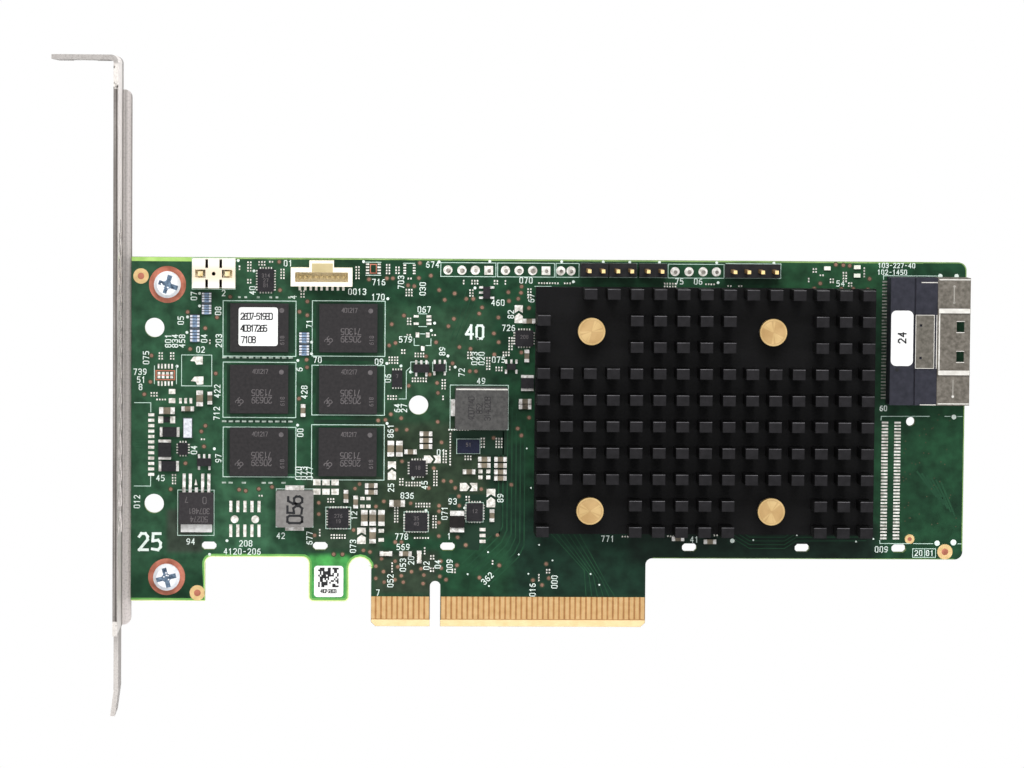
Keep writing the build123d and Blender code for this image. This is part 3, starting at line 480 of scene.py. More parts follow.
# Mottled materials: both tints, roughness, scale of the grain, metal, bump and shine
MOTTLED = {
    "gold_contacts": ((228, 184, 125), (242, 203, 147), 0.38, 900, 0.55),
    "screw_steel": ((222, 225, 232), (248, 249, 252), 0.4, 1500, 0.1),
    "black_fins": ((2, 2, 2), (6, 5, 7), 0.6, 2500, 0.0, 0.1, 0.19),
    "push_pin_brass": ((196, 162, 100), (222, 192, 130), 0.3, 1400, 0.8),
    "spring_steel": ((150, 150, 150), (190, 190, 190), 0.3, 900, 0.9),
    "package_green": ((30, 80, 45), (40, 96, 56), 0.4),
    "lid_metal": ((150, 150, 148), (176, 176, 172), 0.4, 900, 0.9),
    "pad_grey": ((120, 122, 126), (140, 142, 146), 0.9),
    "chip_black": ((42, 39, 41), (52, 49, 51), 0.65, 1800, 0.0, 0.05),
    "label_white": ((228, 228, 226), (240, 240, 238), 0.6),
    "choke_grey": ((64, 63, 62), (84, 83, 81), 0.6, 1600, 0.1, 0.05),
    "choke_pale": ((116, 113, 110), (132, 129, 126), 0.6, 1600, 0.1, 0.05),
    "choke_dark": ((16, 12, 12), (28, 23, 22), 0.6, 1600, 0.0, 0.05),
    "tin": ((160, 154, 146), (255, 253, 250), 0.4, 1300, 0.1),
    "bright_tin": ((225, 223, 220), (255, 255, 253), 0.35, 1300),
    "pin_gold": ((226, 196, 130), (250, 234, 192), 0.4, 1500, 0.2),
    "key_tan": ((184, 168, 124), (200, 184, 142), 0.6, 400),
    "header_plastic": ((26, 25, 27), (38, 37, 39)),
    "port_plastic": ((32, 33, 42), (46, 46, 56), 0.6),
    "port_metal": ((92, 87, 79), (128, 122, 113), 0.45, 1500, 0.3),
    "latch_metal": ((90, 86, 78), (122, 117, 108), 0.45, 1500, 0.3),
    "ceramic_tan": ((80, 74, 63), (136, 125, 106), 0.5, 600),
    "resistor_grey": ((58, 66, 74), (84, 92, 98), 0.5, 3000),
    "memory_black": ((35, 33, 34), (45, 42, 43), 0.65, 1800, 0.0, 0.05),
    "small_chip": ((26, 25, 28), (38, 36, 39), 0.65, 1800, 0.0, 0.05),
    "chip_blue": ((16, 20, 40), (28, 32, 54), 0.55, 1800, 0.0, 0.05),
    "tail_tin": ((70, 76, 68), (160, 162, 152), 0.5, 1500, 0.1),
    "light_lens": ((226, 228, 212), (246, 246, 236), 0.25),
    "ink_white": ((206, 222, 212), (232, 240, 234), 0.6, 1500),
    "ink_line": ((172, 204, 188), (206, 226, 215), 0.6, 1500),
    "ink_dim": ((116, 134, 120), (192, 202, 192), 0.6, 1500),
    "solder": ((176, 170, 160), (255, 253, 246), 0.4, 1300),
    "copper_ring": ((144, 84, 64), (200, 126, 104), 0.5, 500),
    "via_tint": ((118, 88, 74), (154, 116, 99), 0.5, 700),
    "via_edge": ((50, 58, 40), (74, 74, 52), 0.5, 700),
    "tan_pad": ((206, 172, 118), (226, 196, 142), 0.45),
    "contact_gap": ((150, 104, 60), (176, 128, 78)),
    "bevel_tint": ((238, 206, 150), (250, 224, 172), 0.5, 500),
    "edge_tint": ((150, 196, 96), (186, 220, 132), 0.5, 300),
    "thin_edge_tint": ((104, 138, 78), (146, 178, 108), 0.5, 300),
    "notch_tint": ((88, 150, 72), (116, 174, 92), 0.5, 300),
    "rim_tint": ((196, 214, 132), (222, 232, 166), 0.5, 300),
    "trace_tint": ((25, 58, 40), (34, 76, 50), 0.4, 300),
    "shade_tint": ((22, 44, 32), (32, 58, 42), 0.4, 120),
    "chip_ink": ((82, 78, 79), (104, 99, 100), 0.6, 2400),
    "black_ink": ((26, 26, 28), (42, 42, 44), 0.7, 1200),
    "fin_edge_highlight": ((62, 60, 63), (112, 110, 113), 0.6, 500),
    "fin_top": ((9, 7, 10), (22, 20, 23), 0.6),
    "brass_highlight": ((186, 154, 102), (212, 182, 130), 0.4, 300, 0.1),
    "brass_dark": ((172, 138, 90), (198, 165, 115), 0.4, 300, 0.1),
    "cross_shade": ((30, 46, 66), (120, 142, 164), 0.4, 1400),
    "screw_highlight": ((226, 228, 234), (246, 247, 250), 0.4),
    "shell_highlight": ((206, 202, 194), (232, 229, 222), 0.4, 900, 0.2),
    "slit_grey": ((142, 138, 130), (170, 166, 158), 0.5, 900, 0.2),
    "network_light": ((186, 188, 196), (228, 230, 236), 0.5, 2600),
    "network_blue": ((92, 112, 138), (138, 160, 186), 0.5, 2600),
    "choke_ink": ((46, 44, 45), (62, 60, 61), 0.6, 1500),
    "crater_grey": ((70, 64, 58), (176, 170, 160), 0.5, 1600),
}

solder_mask()
bracket_steel()
battery_plastic()
two_level("cream_plastic", (246, 240, 222), (252, 240, 210), 3.6)
# Nine-way contacts: tops above 1.3 mm painted tan as the shade of the cavity, pale tin below
two_level("nine_way_tin", (184, 164, 118), (226, 222, 214), 1.3)
# Header pins: bright gold tips, with the sides below 8.4 mm painted dark brown as shade
two_level("header_gold", (246, 214, 150), (128, 98, 58), 8.4)
for name, values in MOTTLED.items():
    mottled(name, *values)

# Modelled pieces that wear each material
PAINTS = {
    "solder_mask": ["circuit_board"],
    "gold_contacts": ["edge_contacts_front", "edge_contacts_back"],
    "bracket_steel": ["bracket"],
    "screw_steel": ["bracket_screws"],
    "black_fins": ["heat_sink"],
    "push_pin_brass": ["push_pins"],
    "spring_steel": ["push_pin_springs"],
    "package_green": ["controller_substrate"],
    "lid_metal": ["controller_lid"],
    "pad_grey": ["thermal_pad"],
    "label_white": ["memory_label", "port_label", "tab_label"],
    "tin": [
        "choke_ends", "regulator_leads", "transistor_leads", "diode_ends", "ceramic_ends",
        "back_ceramic_ends",
    ],
    "chip_black": ["regulator_body"],
    "bright_tin": ["regulator_tab"],
    "battery_plastic": ["battery_connector"],
    "pin_gold": ["battery_pins"],
    "cream_plastic": ["nine_way_connector"],
    "nine_way_tin": ["nine_way_contacts"],
    "header_gold": ["header_pins"],
    "header_plastic": [f"pin_header_{i}" for i in range(1, 5)],
    "port_plastic": ["port_housing"],
    "port_metal": ["port_shell"],
    "latch_metal": ["port_latch_plate"],
    "tail_tin": ["port_contacts"],
    "memory_black": [f"memory_chip_{i}" for i in range(1, 7)],
    "small_chip": ["transistor_bodies", "diode_bodies"] + [f"logic_chip_{i}" for i in range(1, 10)],
    "chip_blue": ["logic_chip_7"],
    "ceramic_tan": ["ceramic_bodies", "back_ceramic_bodies"],
    "resistor_grey": ["resistor_networks"],
    "light_lens": ["status_lights"],
    "choke_pale": ["choke_1"],
    "choke_grey": ["choke_2"],
    "choke_dark": ["choke_3"],
}
for name, painted in PAINTS.items():
    for node in painted:
        mesh = nodes[node].data
        mesh.materials.clear()
        mesh.materials.append(materials[name])


def rounded(corners):
    """Turn corners given as x, y and radius into the points of an outline."""
    points = []
    count = len(corners)
    for i, (x, y, radius) in enumerate(corners):
        here = Vector((x, y))
        if radius == 0:
            points.append(here)
            continue
        before = (Vector(corners[i - 1][:2]) - here).normalized()
        after = (Vector(corners[(i + 1) % count][:2]) - here).normalized()
        middle = here + (before + after) * radius
        start = here + before * radius - middle
        end = here + after * radius - middle
        for step in range(7):
            turn = step / 6 * math.pi / 2
            points.append(middle + start * math.cos(turn) + end * math.sin(turn))
    return points


def band(layer, points, width):
    """Add a band along the left-hand side of an open run of points."""
    shifted = []
    for i, point in enumerate(points):
        first = points[max(i - 1, 0)]
        last = points[min(i + 1, len(points) - 1)]
        along = (last - first).normalized()
        shifted.append(point + Vector((-along.y, along.x)) * width)
    for i in range(len(points) - 1):
        quad = [points[i], points[i + 1], shifted[i + 1], shifted[i]]
        layer.polygon([(p.x, p.y) for p in quad])


# Pale strip of bare laminate along the board's outline, thinner past the left connector, brightened as a
# painted glow of light shining through the edge
EDGE_GAP = 0.02
far_edge = BOARD_TOP - EDGE_GAP
right_edge = BOARD_RIGHT - EDGE_GAP
top_edge = Print(COPPER_Z)
band(top_edge, [Vector((x, far_edge)) for x in (-45.0, BOARD_LEFT + EDGE_GAP)], 0.75)
top_edge.make("edge_strip", "edge_tint", "solder_mask")
thin_edge = Print(COPPER_Z)
band(thin_edge, rounded([(right_edge, 14.4, 0), (right_edge, far_edge, 1.5), (90.0, far_edge, 0)]), 0.16)
band(thin_edge, [Vector((x, far_edge)) for x in (90.0, -45.0)], 0.25)
band(thin_edge, [Vector((x, BOARD_STEP + EDGE_GAP)) for x in (40.3, BOARD_RIGHT - 1.5)], 0.12)
thin_edge.make("thin_edge_strip", "thin_edge_tint", "solder_mask")

# Greener strip of laminate round the leg, the label tab and the arch beside the tongue, with a rim painted
# bright as a glow of light shining through the edge
ARCH_RADIUS = (TONGUE_LEFT - TAB_RIGHT) / 2
ARCH_X = (TONGUE_LEFT + TAB_RIGHT) / 2
notch_run = rounded(
    [
        (BOARD_LEFT, LEG_BOTTOM, 0),
        (LEG_RIGHT, LEG_BOTTOM, 0),
        (LEG_RIGHT, BOARD_STEP, 1.2),
        (TAB_LEFT, BOARD_STEP, 1.2),
        (TAB_LEFT, LEG_BOTTOM, 0.9),
        (TAB_RIGHT, LEG_BOTTOM, 0.9),
        (TAB_RIGHT, BOARD_STEP - 2.1, 0),
    ]
)
for i in range(9):
    notch_run.append(Vector(around(ARCH_X, BOARD_STEP - ARCH_RADIUS, ARCH_RADIUS, math.pi * (1 - i / 8))))
notch_run.append(Vector((TONGUE_LEFT, 11.3)))
notch_edge = Print(COPPER_Z)
band(notch_edge, notch_run, 0.55)
notch_edge.make("notch_strip", "notch_tint", "solder_mask")
rim = Print(PAD_Z)
band(rim, notch_run, 0.18)
rim.make("notch_rim", "rim_tint", "solder_mask")

# Contact tongue: bare strip between the contacts, and the paler bevel with its cut corners
contact_gap = Print(COPPER_Z)
for x0, x1 in ((TONGUE_LEFT + 0.05, -1.05), (1.05, TONGUE_RIGHT - 0.05)):
    contact_gap.box((x0 + x1) / 2, 3.45, x1 - x0, 4.3)
contact_gap.make("contact_gaps", "contact_gap", "gold_contacts")
BEVEL_LOW = 0.02
BEVEL_HIGH = 1.3
BEVEL_DEPTH = 0.43
BEVEL_RISE = 0.444 / (BEVEL_HIGH - BEVEL_LOW)
bevel_vertices = []
bevel_faces = []
for edge, key, inward in ((TONGUE_LEFT, -1.0, 1), (TONGUE_RIGHT, 1.0, -1)):
    side = edge + inward * 0.04
    cut = edge + inward * 0.82
    outline = ((key, BEVEL_LOW), (key, BEVEL_HIGH), (side, BEVEL_HIGH), (side, 0.82), (cut, BEVEL_LOW))
    start = len(bevel_vertices)
    bevel_vertices += [(x, y, (y - BEVEL_LOW) * BEVEL_RISE - BEVEL_DEPTH) for x, y in outline]
    bevel_faces.append(tuple(range(start, start + 5))[::-inward])
mesh_piece("bevel_face", bevel_vertices, bevel_faces, "bevel_tint")

# Copper rings under the screws, and the round sighting marks
SCREWS = ((-49.6, 63.1, -0.31), (-49.6, 9.1, 0.24))
rings = Print(COPPER_Z)
for x, y, tilt in SCREWS:
    rings.ring(x, y, 1.6, 3.4, 40)
marks = Print(PAD_Z)
mark_middles = Print(INK_Z)
for x, y in ((-54.46, 64.63), (-43.94, 6.14), (94.79, 14.29)):
    marks.disc(x, y, 1.42, 32)
    mark_middles.disc(x, y, 0.62)
marks.disc(88.16, 16.64, 0.9)
mark_middles.disc(88.16, 16.64, 0.4)
rings.make("screw_rings", "copper_ring", "gold_contacts")
marks.make("sighting_marks", "tan_pad", "gold_contacts")
mark_middles.make("sighting_middles", "copper_ring", "gold_contacts")

# Darker fields of the board: painted shade round and between the memory chips, and darker patches beside the
# heat sink and in the lower corner
MEMORY_FRAMES = (
    (-32.68, 55.09, 10.2), (-16.28, 55.19, 10.2), (-32.64, 43.78, 10.2),
    (-16.3, 43.8, 9.2), (-32.59, 32.29, 9.2), (-16.3, 32.3, 10.2),
)
shade = Print(COPPER_Z)
# Painted shade round each memory chip, then in the strips between the chips
for x, y, width in MEMORY_FRAMES:
    shade.box(x + 0.2, y + 0.1, 12.4, width - 1.0)
for x in (-32.65, -16.3):
    for y in (49.6, 38.0):
        shade.box(x, y, 12.6, 0.7)
shade.polygon([(4.4, 32.0), (13.0, 32.0), (13.0, 36.4), (3.0, 36.4), (3.0, 34.8)])
shade.polygon([(4.0, 14.6), (8.0, 14.2), (8.4, 17.0), (12.0, 17.0), (12.0, 22.5), (9.0, 24.6), (2.4, 24.6)])
shade.make("dark_fields", "shade_tint", "solder_mask")

# Bundles of tracks
tracks = Print(COPPER_Z)
for i in range(7):
    x = 11.6 + 0.8 * i
    low = 17.2 - 0.7 * i
    tracks.line([(x, 44.0 - 1.1 * i), (x, low + 2.2), (x - 1.0, low), (x - 6.6, low - 5.4)], 0.22)
for i in range(6):
    x = 21.4 + 1.05 * i
    tracks.line([(x, 17.4), (x + 6.2 - 0.2 * i, 10.6 - 0.5 * i), (x + 6.6, 5.9)], 0.16)
for i in range(4):
    y = 14.8 + 0.7 * i
    tracks.line([(53.0, y + 3.2), (58.3, y), (64.8, y), (67.0, y + 1.4), (80.0, y + 1.5)], 0.14)
for i in range(5):
    tracks.line([(2.4 + 0.9 * i, 53.0), (4.0 + 0.9 * i, 57.2), (5.4 + 1.3 * i, 62.6)], 0.13)
for i in range(4):
    tracks.line([(-55.3, 33.0 + 0.5 * i), (-53.4, 33.0 + 0.5 * i)], 0.12)
for i in range(6):
    tracks.line([(89.4 + 0.9 * i, 29.2 - 0.4 * i), (93.0 + 0.7 * i, 24.6 - 0.7 * i)], 0.34)
tracks.make("tracks", "trace_tint", "solder_mask")

# Vias, with a scatter of tiny ones in the lower right corner
VIAS = (
    (-45.9, 58.05), (-42.65, 55.1), (-40.5, 57.1), (-52.5, 50.0), (-52.7, 45.15), (-53.8, 42.85),
    (-40.7, 46.75), (-38.1, 60.9), (-29.1, 67.4), (-28.95, 62.2), (-23.9, 57.6), (-25.35, 58.25),
    (-23.9, 60.15), (-24.0, 49.4), (-23.9, 48.0), (-25.35, 42.2), (-45.4, 51.25), (-42.55, 37.1),
    (-43.3, 36.05), (-42.8, 33.25), (-46.2, 30.15), (-48.9, 25.35), (-36.3, 25.3), (-35.1, 25.1),
    (-32.7, 25.45), (-30.25, 25.85), (-21.6, 22.95), (-21.6, 20.85), (-22.35, 16.9), (-12.6, 64.3),
    (-9.3, 64.5), (-8.2, 64.5), (-3.25, 67.35), (-1.2, 65.05), (-3.4, 64.6), (-5.4, 63.25),
    (-4.25, 63.1), (0.35, 62.4), (3.2, 61.8), (1.4, 60.6), (5.35, 60.8), (6.65, 60.8),
    (8.3, 59.25), (7.75, 58.1), (3.1, 57.1), (11.3, 57.4), (2.1, 55.75), (-6.1, 57.65),
    (-8.35, 56.05), (10.5, 54.45), (11.4, 52.85), (-0.15, 52.75), (4.15, 51.9), (6.2, 51.6),
    (-8.8, 52.1), (-7.65, 52.6), (-2.0, 50.15), (10.6, 50.55), (2.9, 48.9), (6.1, 47.45),
    (7.25, 47.45), (-1.3, 46.8), (0.1, 45.25), (-5.15, 44.7), (0.25, 43.4), (13.1, 62.1),
    (13.25, 60.45), (15.55, 63.15), (15.45, 62.0), (14.95, 60.9), (16.95, 59.2), (15.6, 51.0),
    (-8.4, 39.4), (-10.75, 38.25), (-9.4, 38.35), (-6.5, 38.7), (0.25, 38.05), (17.15, 38.9),
    (-7.35, 36.55), (-5.45, 36.55), (1.0, 34.25), (10.6, 35.1), (15.05, 36.9), (15.75, 35.6),
    (-6.3, 30.7), (-0.4, 29.45), (1.4, 27.1), (2.8, 27.0), (3.6, 25.8), (8.4, 25.6),
    (13.95, 26.45), (-1.3, 25.75), (-4.65, 22.9), (0.6, 22.5), (0.6, 21.45), (4.25, 24.25),
    (4.35, 22.5), (-9.6, 23.25), (-11.05, 22.3), (-14.95, 25.6), (-14.1, 26.45), (0.6, 19.35),
    (0.6, 16.85), (4.1, 16.65), (5.6, 15.2), (11.45, 17.1), (-7.45, 15.7), (-6.3, 15.7),
    (-13.3, 14.15), (-12.1, 13.85), (-18.8, 13.4), (-17.2, 13.4), (-9.95, 12.6), (-11.0, 11.2),
    (-7.45, 12.15), (-6.95, 11.1), (-9.6, 10.2), (-7.45, 8.7), (-9.45, 8.25), (-5.9, 8.25),
    (-11.0, 8.95), (-6.3, 9.45), (-4.4, 10.2), (-2.65, 10.75), (-2.1, 9.6), (-2.25, 8.0),
    (1.0, 12.2), (1.1, 10.9), (0.85, 9.35), (2.0, 8.75), (4.0, 11.45), (8.2, 9.15),
    (11.85, 11.45), (18.1, 8.7), (20.55, 11.75), (21.05, 9.1), (19.8, 7.8), (73.7, 67.6),
    (75.1, 67.5), (76.3, 67.4), (80.0, 65.0), (79.7, 63.0), (70.85, 64.1), (69.8, 63.1),
    (74.8, 63.1), (77.0, 63.1), (-15.15, 17.9),
)
via_rims = Print(COPPER_Z + 0.004)
via_spots = Print(PAD_Z)
for x, y in VIAS:
    via_rims.disc(x, y, 0.5, 14)
    via_spots.disc(x, y, 0.31, 14)
via_rims.z = COPPER_Z
for i in range(46):
    via_rims.disc(random.uniform(86.5, 97.0), random.uniform(18.0, 40.0), 0.13, 8)
via_rims.make("via_rims", "via_edge", "solder_mask")
via_spots.make("vias", "via_tint", "gold_contacts")

# Small test dots, and the round pads at the right end
SMALL_DOTS = (
    (16.75, 33.2), (17.6, 25.9), (9.75, 13.9), (15.45, 13.5), (6.0, 9.8), (9.95, 7.6),
    (17.25, 9.9), (19.2, 15.3), (21.7, 12.4), (28.8, 9.9), (30.45, 7.9), (59.0, 16.35),
    (67.1, 17.3), (81.4, 16.65), (78.15, 16.15),
)
LARGE_DOTS = (
    (-36.65, 67.6), (-33.75, 65.7), (-46.0, 54.3), (-43.7, 61.5), (-45.9, 57.15), (-43.7, 59.2),
    (-25.6, 49.25), (-23.1, 50.5), (-23.1, 52.65), (-47.8, 48.05), (-40.9, 32.85), (-38.5, 15.85),
    (-41.7, 13.3), (-25.6, 37.3), (-13.6, 67.55), (-9.1, 60.75), (-9.2, 48.8), (-6.6, 48.35),
    (-4.85, 47.25), (-0.45, 56.3), (-1.05, 54.95), (2.05, 50.25), (3.4, 48.2), (6.95, 62.85),
    (9.65, 67.75), (-1.8, 21.6), (5.35, 22.1), (-9.1, 37.7), (22.9, 67.8), (30.6, 67.8),
    (35.5, 67.8), (41.0, 67.8), (51.6, 67.8), (62.2, 67.8), (25.1, 64.1), (51.9, 64.1),
    (-23.1, 20.9), (0.3, 67.6), (-4.25, 27.55),
)
ROUND_PADS = (
    (55.1, 16.2, 0.42), (93.15, 65.6, 0.42), (96.2, 65.6, 0.42), (96.1, 39.45, 0.45),
    (93.3, 15.9, 0.5), (96.35, 16.05, 0.55),
)
dots = Print(INK_Z)
for x, y in SMALL_DOTS:
    dots.disc(x, y, 0.17, 10)
for x, y in LARGE_DOTS:
    dots.disc(x, y, 0.27, 14)
for x, y, radius in ROUND_PADS:
    dots.disc(x, y, radius)
dots.make("test_dots", "ink_white", "label_white")

# Printed outlines round the parts
FRAMES = (
    (-41.15, 65.15, 7.9, 5.7), (-44.2, 47.3, 5.55, 5.7), (-44.25, 21.0, 6.7, 8.4),
    (-26.05, 21.95, 6.8, 7.1), (7.9, 40.75, 10.75, 8.25), (5.7, 66.2, 10.15, 2.55),
    (16.35, 66.2, 10.5, 2.55), (24.0, 66.2, 4.25, 2.55), (28.95, 66.25, 4.95, 2.6),
    (34.3, 66.25, 5.0, 2.6), (39.8, 66.25, 4.95, 2.6), (47.8, 66.2, 10.35, 2.55),
    (58.4, 66.3, 10.2, 2.7), (-3.15, 48.15, 3.3, 1.9), (5.95, 33.55, 4.3, 2.7),
    (-3.6, 19.5, 4.5, 3.7), (-18.0, 20.15, 4.6, 4.0), (7.2, 21.3, 3.2, 3.6),
)
LINES = (
    ((-55.6, 41.3), (-52.6, 41.3), (-52.6, 39.6)),
    ((-52.6, 27.7), (-52.6, 25.9), (-55.6, 25.9)),
    ((-51.95, 44.8), (-51.95, 48.1)), ((-47.9, 44.8), (-47.9, 48.1)),
    ((-13.2, 67.45), (-10.4, 67.45)), ((-13.2, 65.05), (-10.4, 65.05)),
    ((-6.3, 67.3), (-4.2, 67.3)), ((-3.4, 58.0), (-1.9, 58.0)), ((-3.4, 55.65), (-1.9, 55.65)),
    ((-4.2, 53.4), (-4.2, 52.15), (-3.3, 52.15)), ((-1.1, 53.4), (-1.1, 52.15), (-2.0, 52.15)),
    ((-3.1, 54.3), (-2.2, 54.3)), ((-0.75, 47.3), (-0.75, 49.1)), ((1.75, 47.3), (1.75, 49.1)),
    ((-4.9, 48.1), (-5.6, 47.4), (-5.6, 42.25), (-6.9, 42.25)),
    ((82.6, 16.4), (82.6, 15.8), (88.2, 15.8)), ((88.9, 15.8), (92.5, 15.8)), ((97.2, 15.8), (97.8, 15.8)),
    ((82.6, 65.6), (92.6, 65.6)), ((82.6, 65.6), (82.6, 64.9)), ((18.0, 63.2), (21.0, 63.2)),
    ((32.9, 17.5), (35.4, 17.5)), ((82.55, 39.5), (91.5, 39.55)), ((94.4, 39.55), (95.4, 39.55)),
    ((96.8, 39.55), (97.6, 39.55)), ((82.55, 39.5), (82.5, 38.8)),
)
lines = Print(INK_Z)
for x, y, width in MEMORY_FRAMES:
    lines.outline(x, y, 13.4, width, 0.14)
for x, y, length, width in FRAMES:
    lines.outline(x, y, length, width, 0.12)
for run in LINES:
    lines.line(run, 0.13)
lines.outline(90.9, 14.05, 4.3, 1.6, 0.12)
lines.line(((91.0, 13.3), (91.0, 14.8)), 0.12)
lines.make("printed_lines", "ink_line", "label_white")

# Plain numbers beside the parts
UPRIGHT = (
    ("02", -43.5, 51.15), ("01", -27.5, 67.15), ("2", -39.3, 61.6), ("70", -22.0, 49.4),
    ("739", -54.6, 47.0), ("51", -54.4, 45.55), ("8", -54.5, 44.2), ("45", -50.8, 27.4),
    ("94", -45.2, 15.65), ("208", -35.05, 15.35),
    ("42", -28.6, 16.8), ("0013", -14.75, 62.0), ("170", -10.9, 61.05), ("716", -10.8, 63.8),
    ("674", -0.9, 67.1), ("070", 16.35, 64.3), ("460", 11.2, 60.15), ("067", -2.4, 58.8),
    ("726", 13.2, 55.5), ("579", -5.8, 53.25), ("075", 11.4, 49.6), ("49", 8.2, 45.65),
    ("09", -10.65, 49.1), ("836", -5.3, 24.35), ("93", 3.1, 23.3), ("778", -6.3, 16.75),
    ("1", 2.5, 16.85), ("569", -6.0, 14.8), ("7", -10.6, 6.3), ("01", 0.9, 32.4),
    ("75", 44.7, 64.3), ("06", 48.2, 64.3), ("54", 74.6, 64.1), ("009", 82.9, 14.7),
    ("41", 48.0, 16.4), ("771", 31.9, 16.5),
)
TURNED = (
    ("07", -44.75, 61.0), ("08", -40.3, 58.3), ("05", -47.15, 56.5), ("04", -42.85, 53.2),
    ("801", -49.45, 52.7), ("834", -48.2, 52.7), ("458", -46.9, 52.7), ("203", -40.15, 52.8),
    ("075", -53.5, 49.6), ("422", -40.4, 43.5), ("40", -34.0, 62.1), ("4", -26.45, 60.9),
    ("71", -23.5, 56.0), ("6", -25.3, 47.6), ("428", -24.4, 43.4), ("04", -44.65, 32.6),
    ("97", -40.15, 31.1), ("012", -55.1, 23.0), ("070", -25.4, 28.4), ("073", -24.4, 28.4),
    ("077", -23.3, 28.4), ("677", -23.3, 16.4), ("00", -25.1, 35.9), ("712", -40.5, 39.4),
    ("703", -6.7, 63.8), ("030", -2.7, 62.6), ("82", 13.6, 58.0), ("89", 1.0, 51.1),
    ("023", 6.95, 49.8), ("020", 8.25, 49.8), ("72", 4.6, 47.2), ("06", -9.0, 46.05),
    ("64", -7.25, 40.55), ("27", -6.0, 40.55), ("861", -8.45, 36.3), ("45", -2.1, 26.3),
    ("25", -8.3, 25.8), ("053", -6.0, 11.45), ("20", -4.5, 12.3), ("02", -1.65, 11.35),
    ("04", 0.45, 11.6), ("009", 2.65, 11.3), ("016", 18.05, 6.9), ("000", 22.1, 8.4),
    ("052", -8.3, 8.5), ("073", -15.25, 14.9), ("89", 11.95, 23.95), ("071", 1.65, 21.1),
    ("12", -15.1, 20.6), ("67", 17.35, 61.0),
)
SMALL_NUMBERS = (
    ("103-227-40", 85.0, 67.5, 0.82), ("102-1450", 84.2, 66.25, 0.82), ("60", 82.9, 41.0, 0.9),
    ("20", 89.85, 14.05, 0.95), ("81", 91.95, 14.05, 0.95),
)
BESIDE = 1.02
text = Print(INK_Z)
for digits, x, y in UPRIGHT:
    text.number(digits, x, y, BESIDE)
for digits, x, y in TURNED:
    text.number(digits, x, y, BESIDE, 90)
text.number("362", 9.65, 9.0, BESIDE, 45)
text.number("4120-206", -35.7, 13.85, BESIDE)
for digits, x, y, height in SMALL_NUMBERS:
    text.number(digits, x, y, height)
text.number("25", -52.7, 15.6, 3.0, 0, 0.5, 0.3)
text.number("40", 6.95, 54.7, 2.4, 0, 0.42, 0.3)
text.make("printed_numbers", "ink_white", "label_white")

# Solder pads: bare footprints, jumpers and the pads round the leadless chips
pads = Print(SOLDER_Z)
SHAPED_Z = SOLDER_Z + 0.004


def grid(x, y, across, rows, step_x, step_y, length, width):
    """Add a grid of pads centred on a point."""
    for i in range(across):
        for j in range(rows):
            spot_x = x + (i - (across - 1) / 2) * step_x
            pads.box(spot_x, y + (j - (rows - 1) / 2) * step_y, length, width)


def jumper(x, y, length, width, along):
    """Add a pair of pads that meet in a point, with a slanting gap."""
    a = length / 2
    b = width / 2
    near = [(-a, -b), (-a * 0.2, -b), (a * 0.12, 0), (-a * 0.28, b), (-a, b)]
    far = [(a, b), (a * 0.1, b), (a * 0.42, 0), (a * 0.14, -b), (a, -b)]
    for shape in (near, far):
        if along == "x":
            pads.polygon([(x + u, y + v) for u, v in shape])
        else:
            pads.polygon([(x - v, y + u) for u, v in shape])


def chip_pads(x, y, length, width, across, rows):
    """Add the pads that show round a leadless chip."""
    for side in (-1, 1):
        grid(x, y + side * (width / 2 + 0.12), across, 1, 0.5, 0, 0.24, 0.42)
        grid(x + side * (length / 2 + 0.12), y, 1, rows, 0, 0.5, 0.42, 0.24)


LEADLESS = (
    (-31.55, 64.0, 3.0, 4.2, 5, 8), (-7.3, 46.0, 1.9, 3.1, 4, 0), (-3.4, 29.45, 3.0, 2.9, 5, 5),
    (-3.6, 19.5, 4.1, 3.4, 8, 6), (-18.0, 20.15, 3.8, 3.6, 7, 6), (7.2, 21.35, 3.0, 3.4, 5, 6),
    (-46.65, 32.85, 1.8, 2.2, 3, 4), (16.1, 53.6, 3.3, 2.95, 5, 5),
)
LEFT_FOOTPRINTS = (
    (-52.5, 33.57, 1, 12, 0, 1.0, 1.1, 0.55), (-49.95, 46.4, 4, 1, 0.78, 0, 0.5, 1.15),
    (-49.95, 48.05, 5, 1, 0.62, 0, 0.3, 0.85), (-49.95, 44.85, 5, 1, 0.62, 0, 0.3, 0.85),
)
PROGRAM_FOOTPRINTS = ((-35.22, 22.2, 5, 1, 1.3, 0, 0.55, 2.1), (-35.22, 17.7, 5, 1, 1.3, 0, 0.55, 2.3))
FOOTPRINTS = (
    (-20.3, 26.75, 3, 1, 1.68, 0, 1.35, 1.1), (-20.3, 25.0, 3, 1, 1.68, 0, 1.35, 1.1),
    (-13.0, 23.05, 2, 2, 1.1, 1.45, 0.8, 0.6), (-10.05, 16.95, 1, 2, 0, 1.7, 1.0, 0.7),
    (8.95, 28.35, 2, 2, 1.45, 1.1, 0.75, 0.7), (8.7, 17.0, 1, 3, 0, 1.1, 1.1, 0.6),
    (-11.8, 66.25, 2, 4, 2.15, 0.55, 0.6, 0.28), (-5.15, 66.2, 2, 4, 1.75, 0.5, 0.5, 0.26),
    (-1.5, 56.85, 1, 3, 0, 0.68, 0.9, 0.42), (-3.85, 56.85, 1, 2, 0, 1.36, 0.9, 0.42),
    (-2.65, 54.1, 2, 1, 1.9, 0, 0.65, 0.9), (-2.6, 51.6, 1, 1, 0, 0, 0.65, 0.85),
    (-49.67, 38.18, 2, 1, 2.2, 0, 0.9, 1.3), (-48.7, 42.55, 1, 2, 0, 1.7, 1.2, 0.9),
)
ROW_FOOTPRINTS = (
    (-46.2, 41.7, 3, 1, 0.95, 0, 0.5, 1.0), (83.25, 27.55, 1, 37, 0, 0.6, 1.2, 0.34),
    (85.6, 27.55, 1, 37, 0, 0.6, 1.2, 0.34),
)
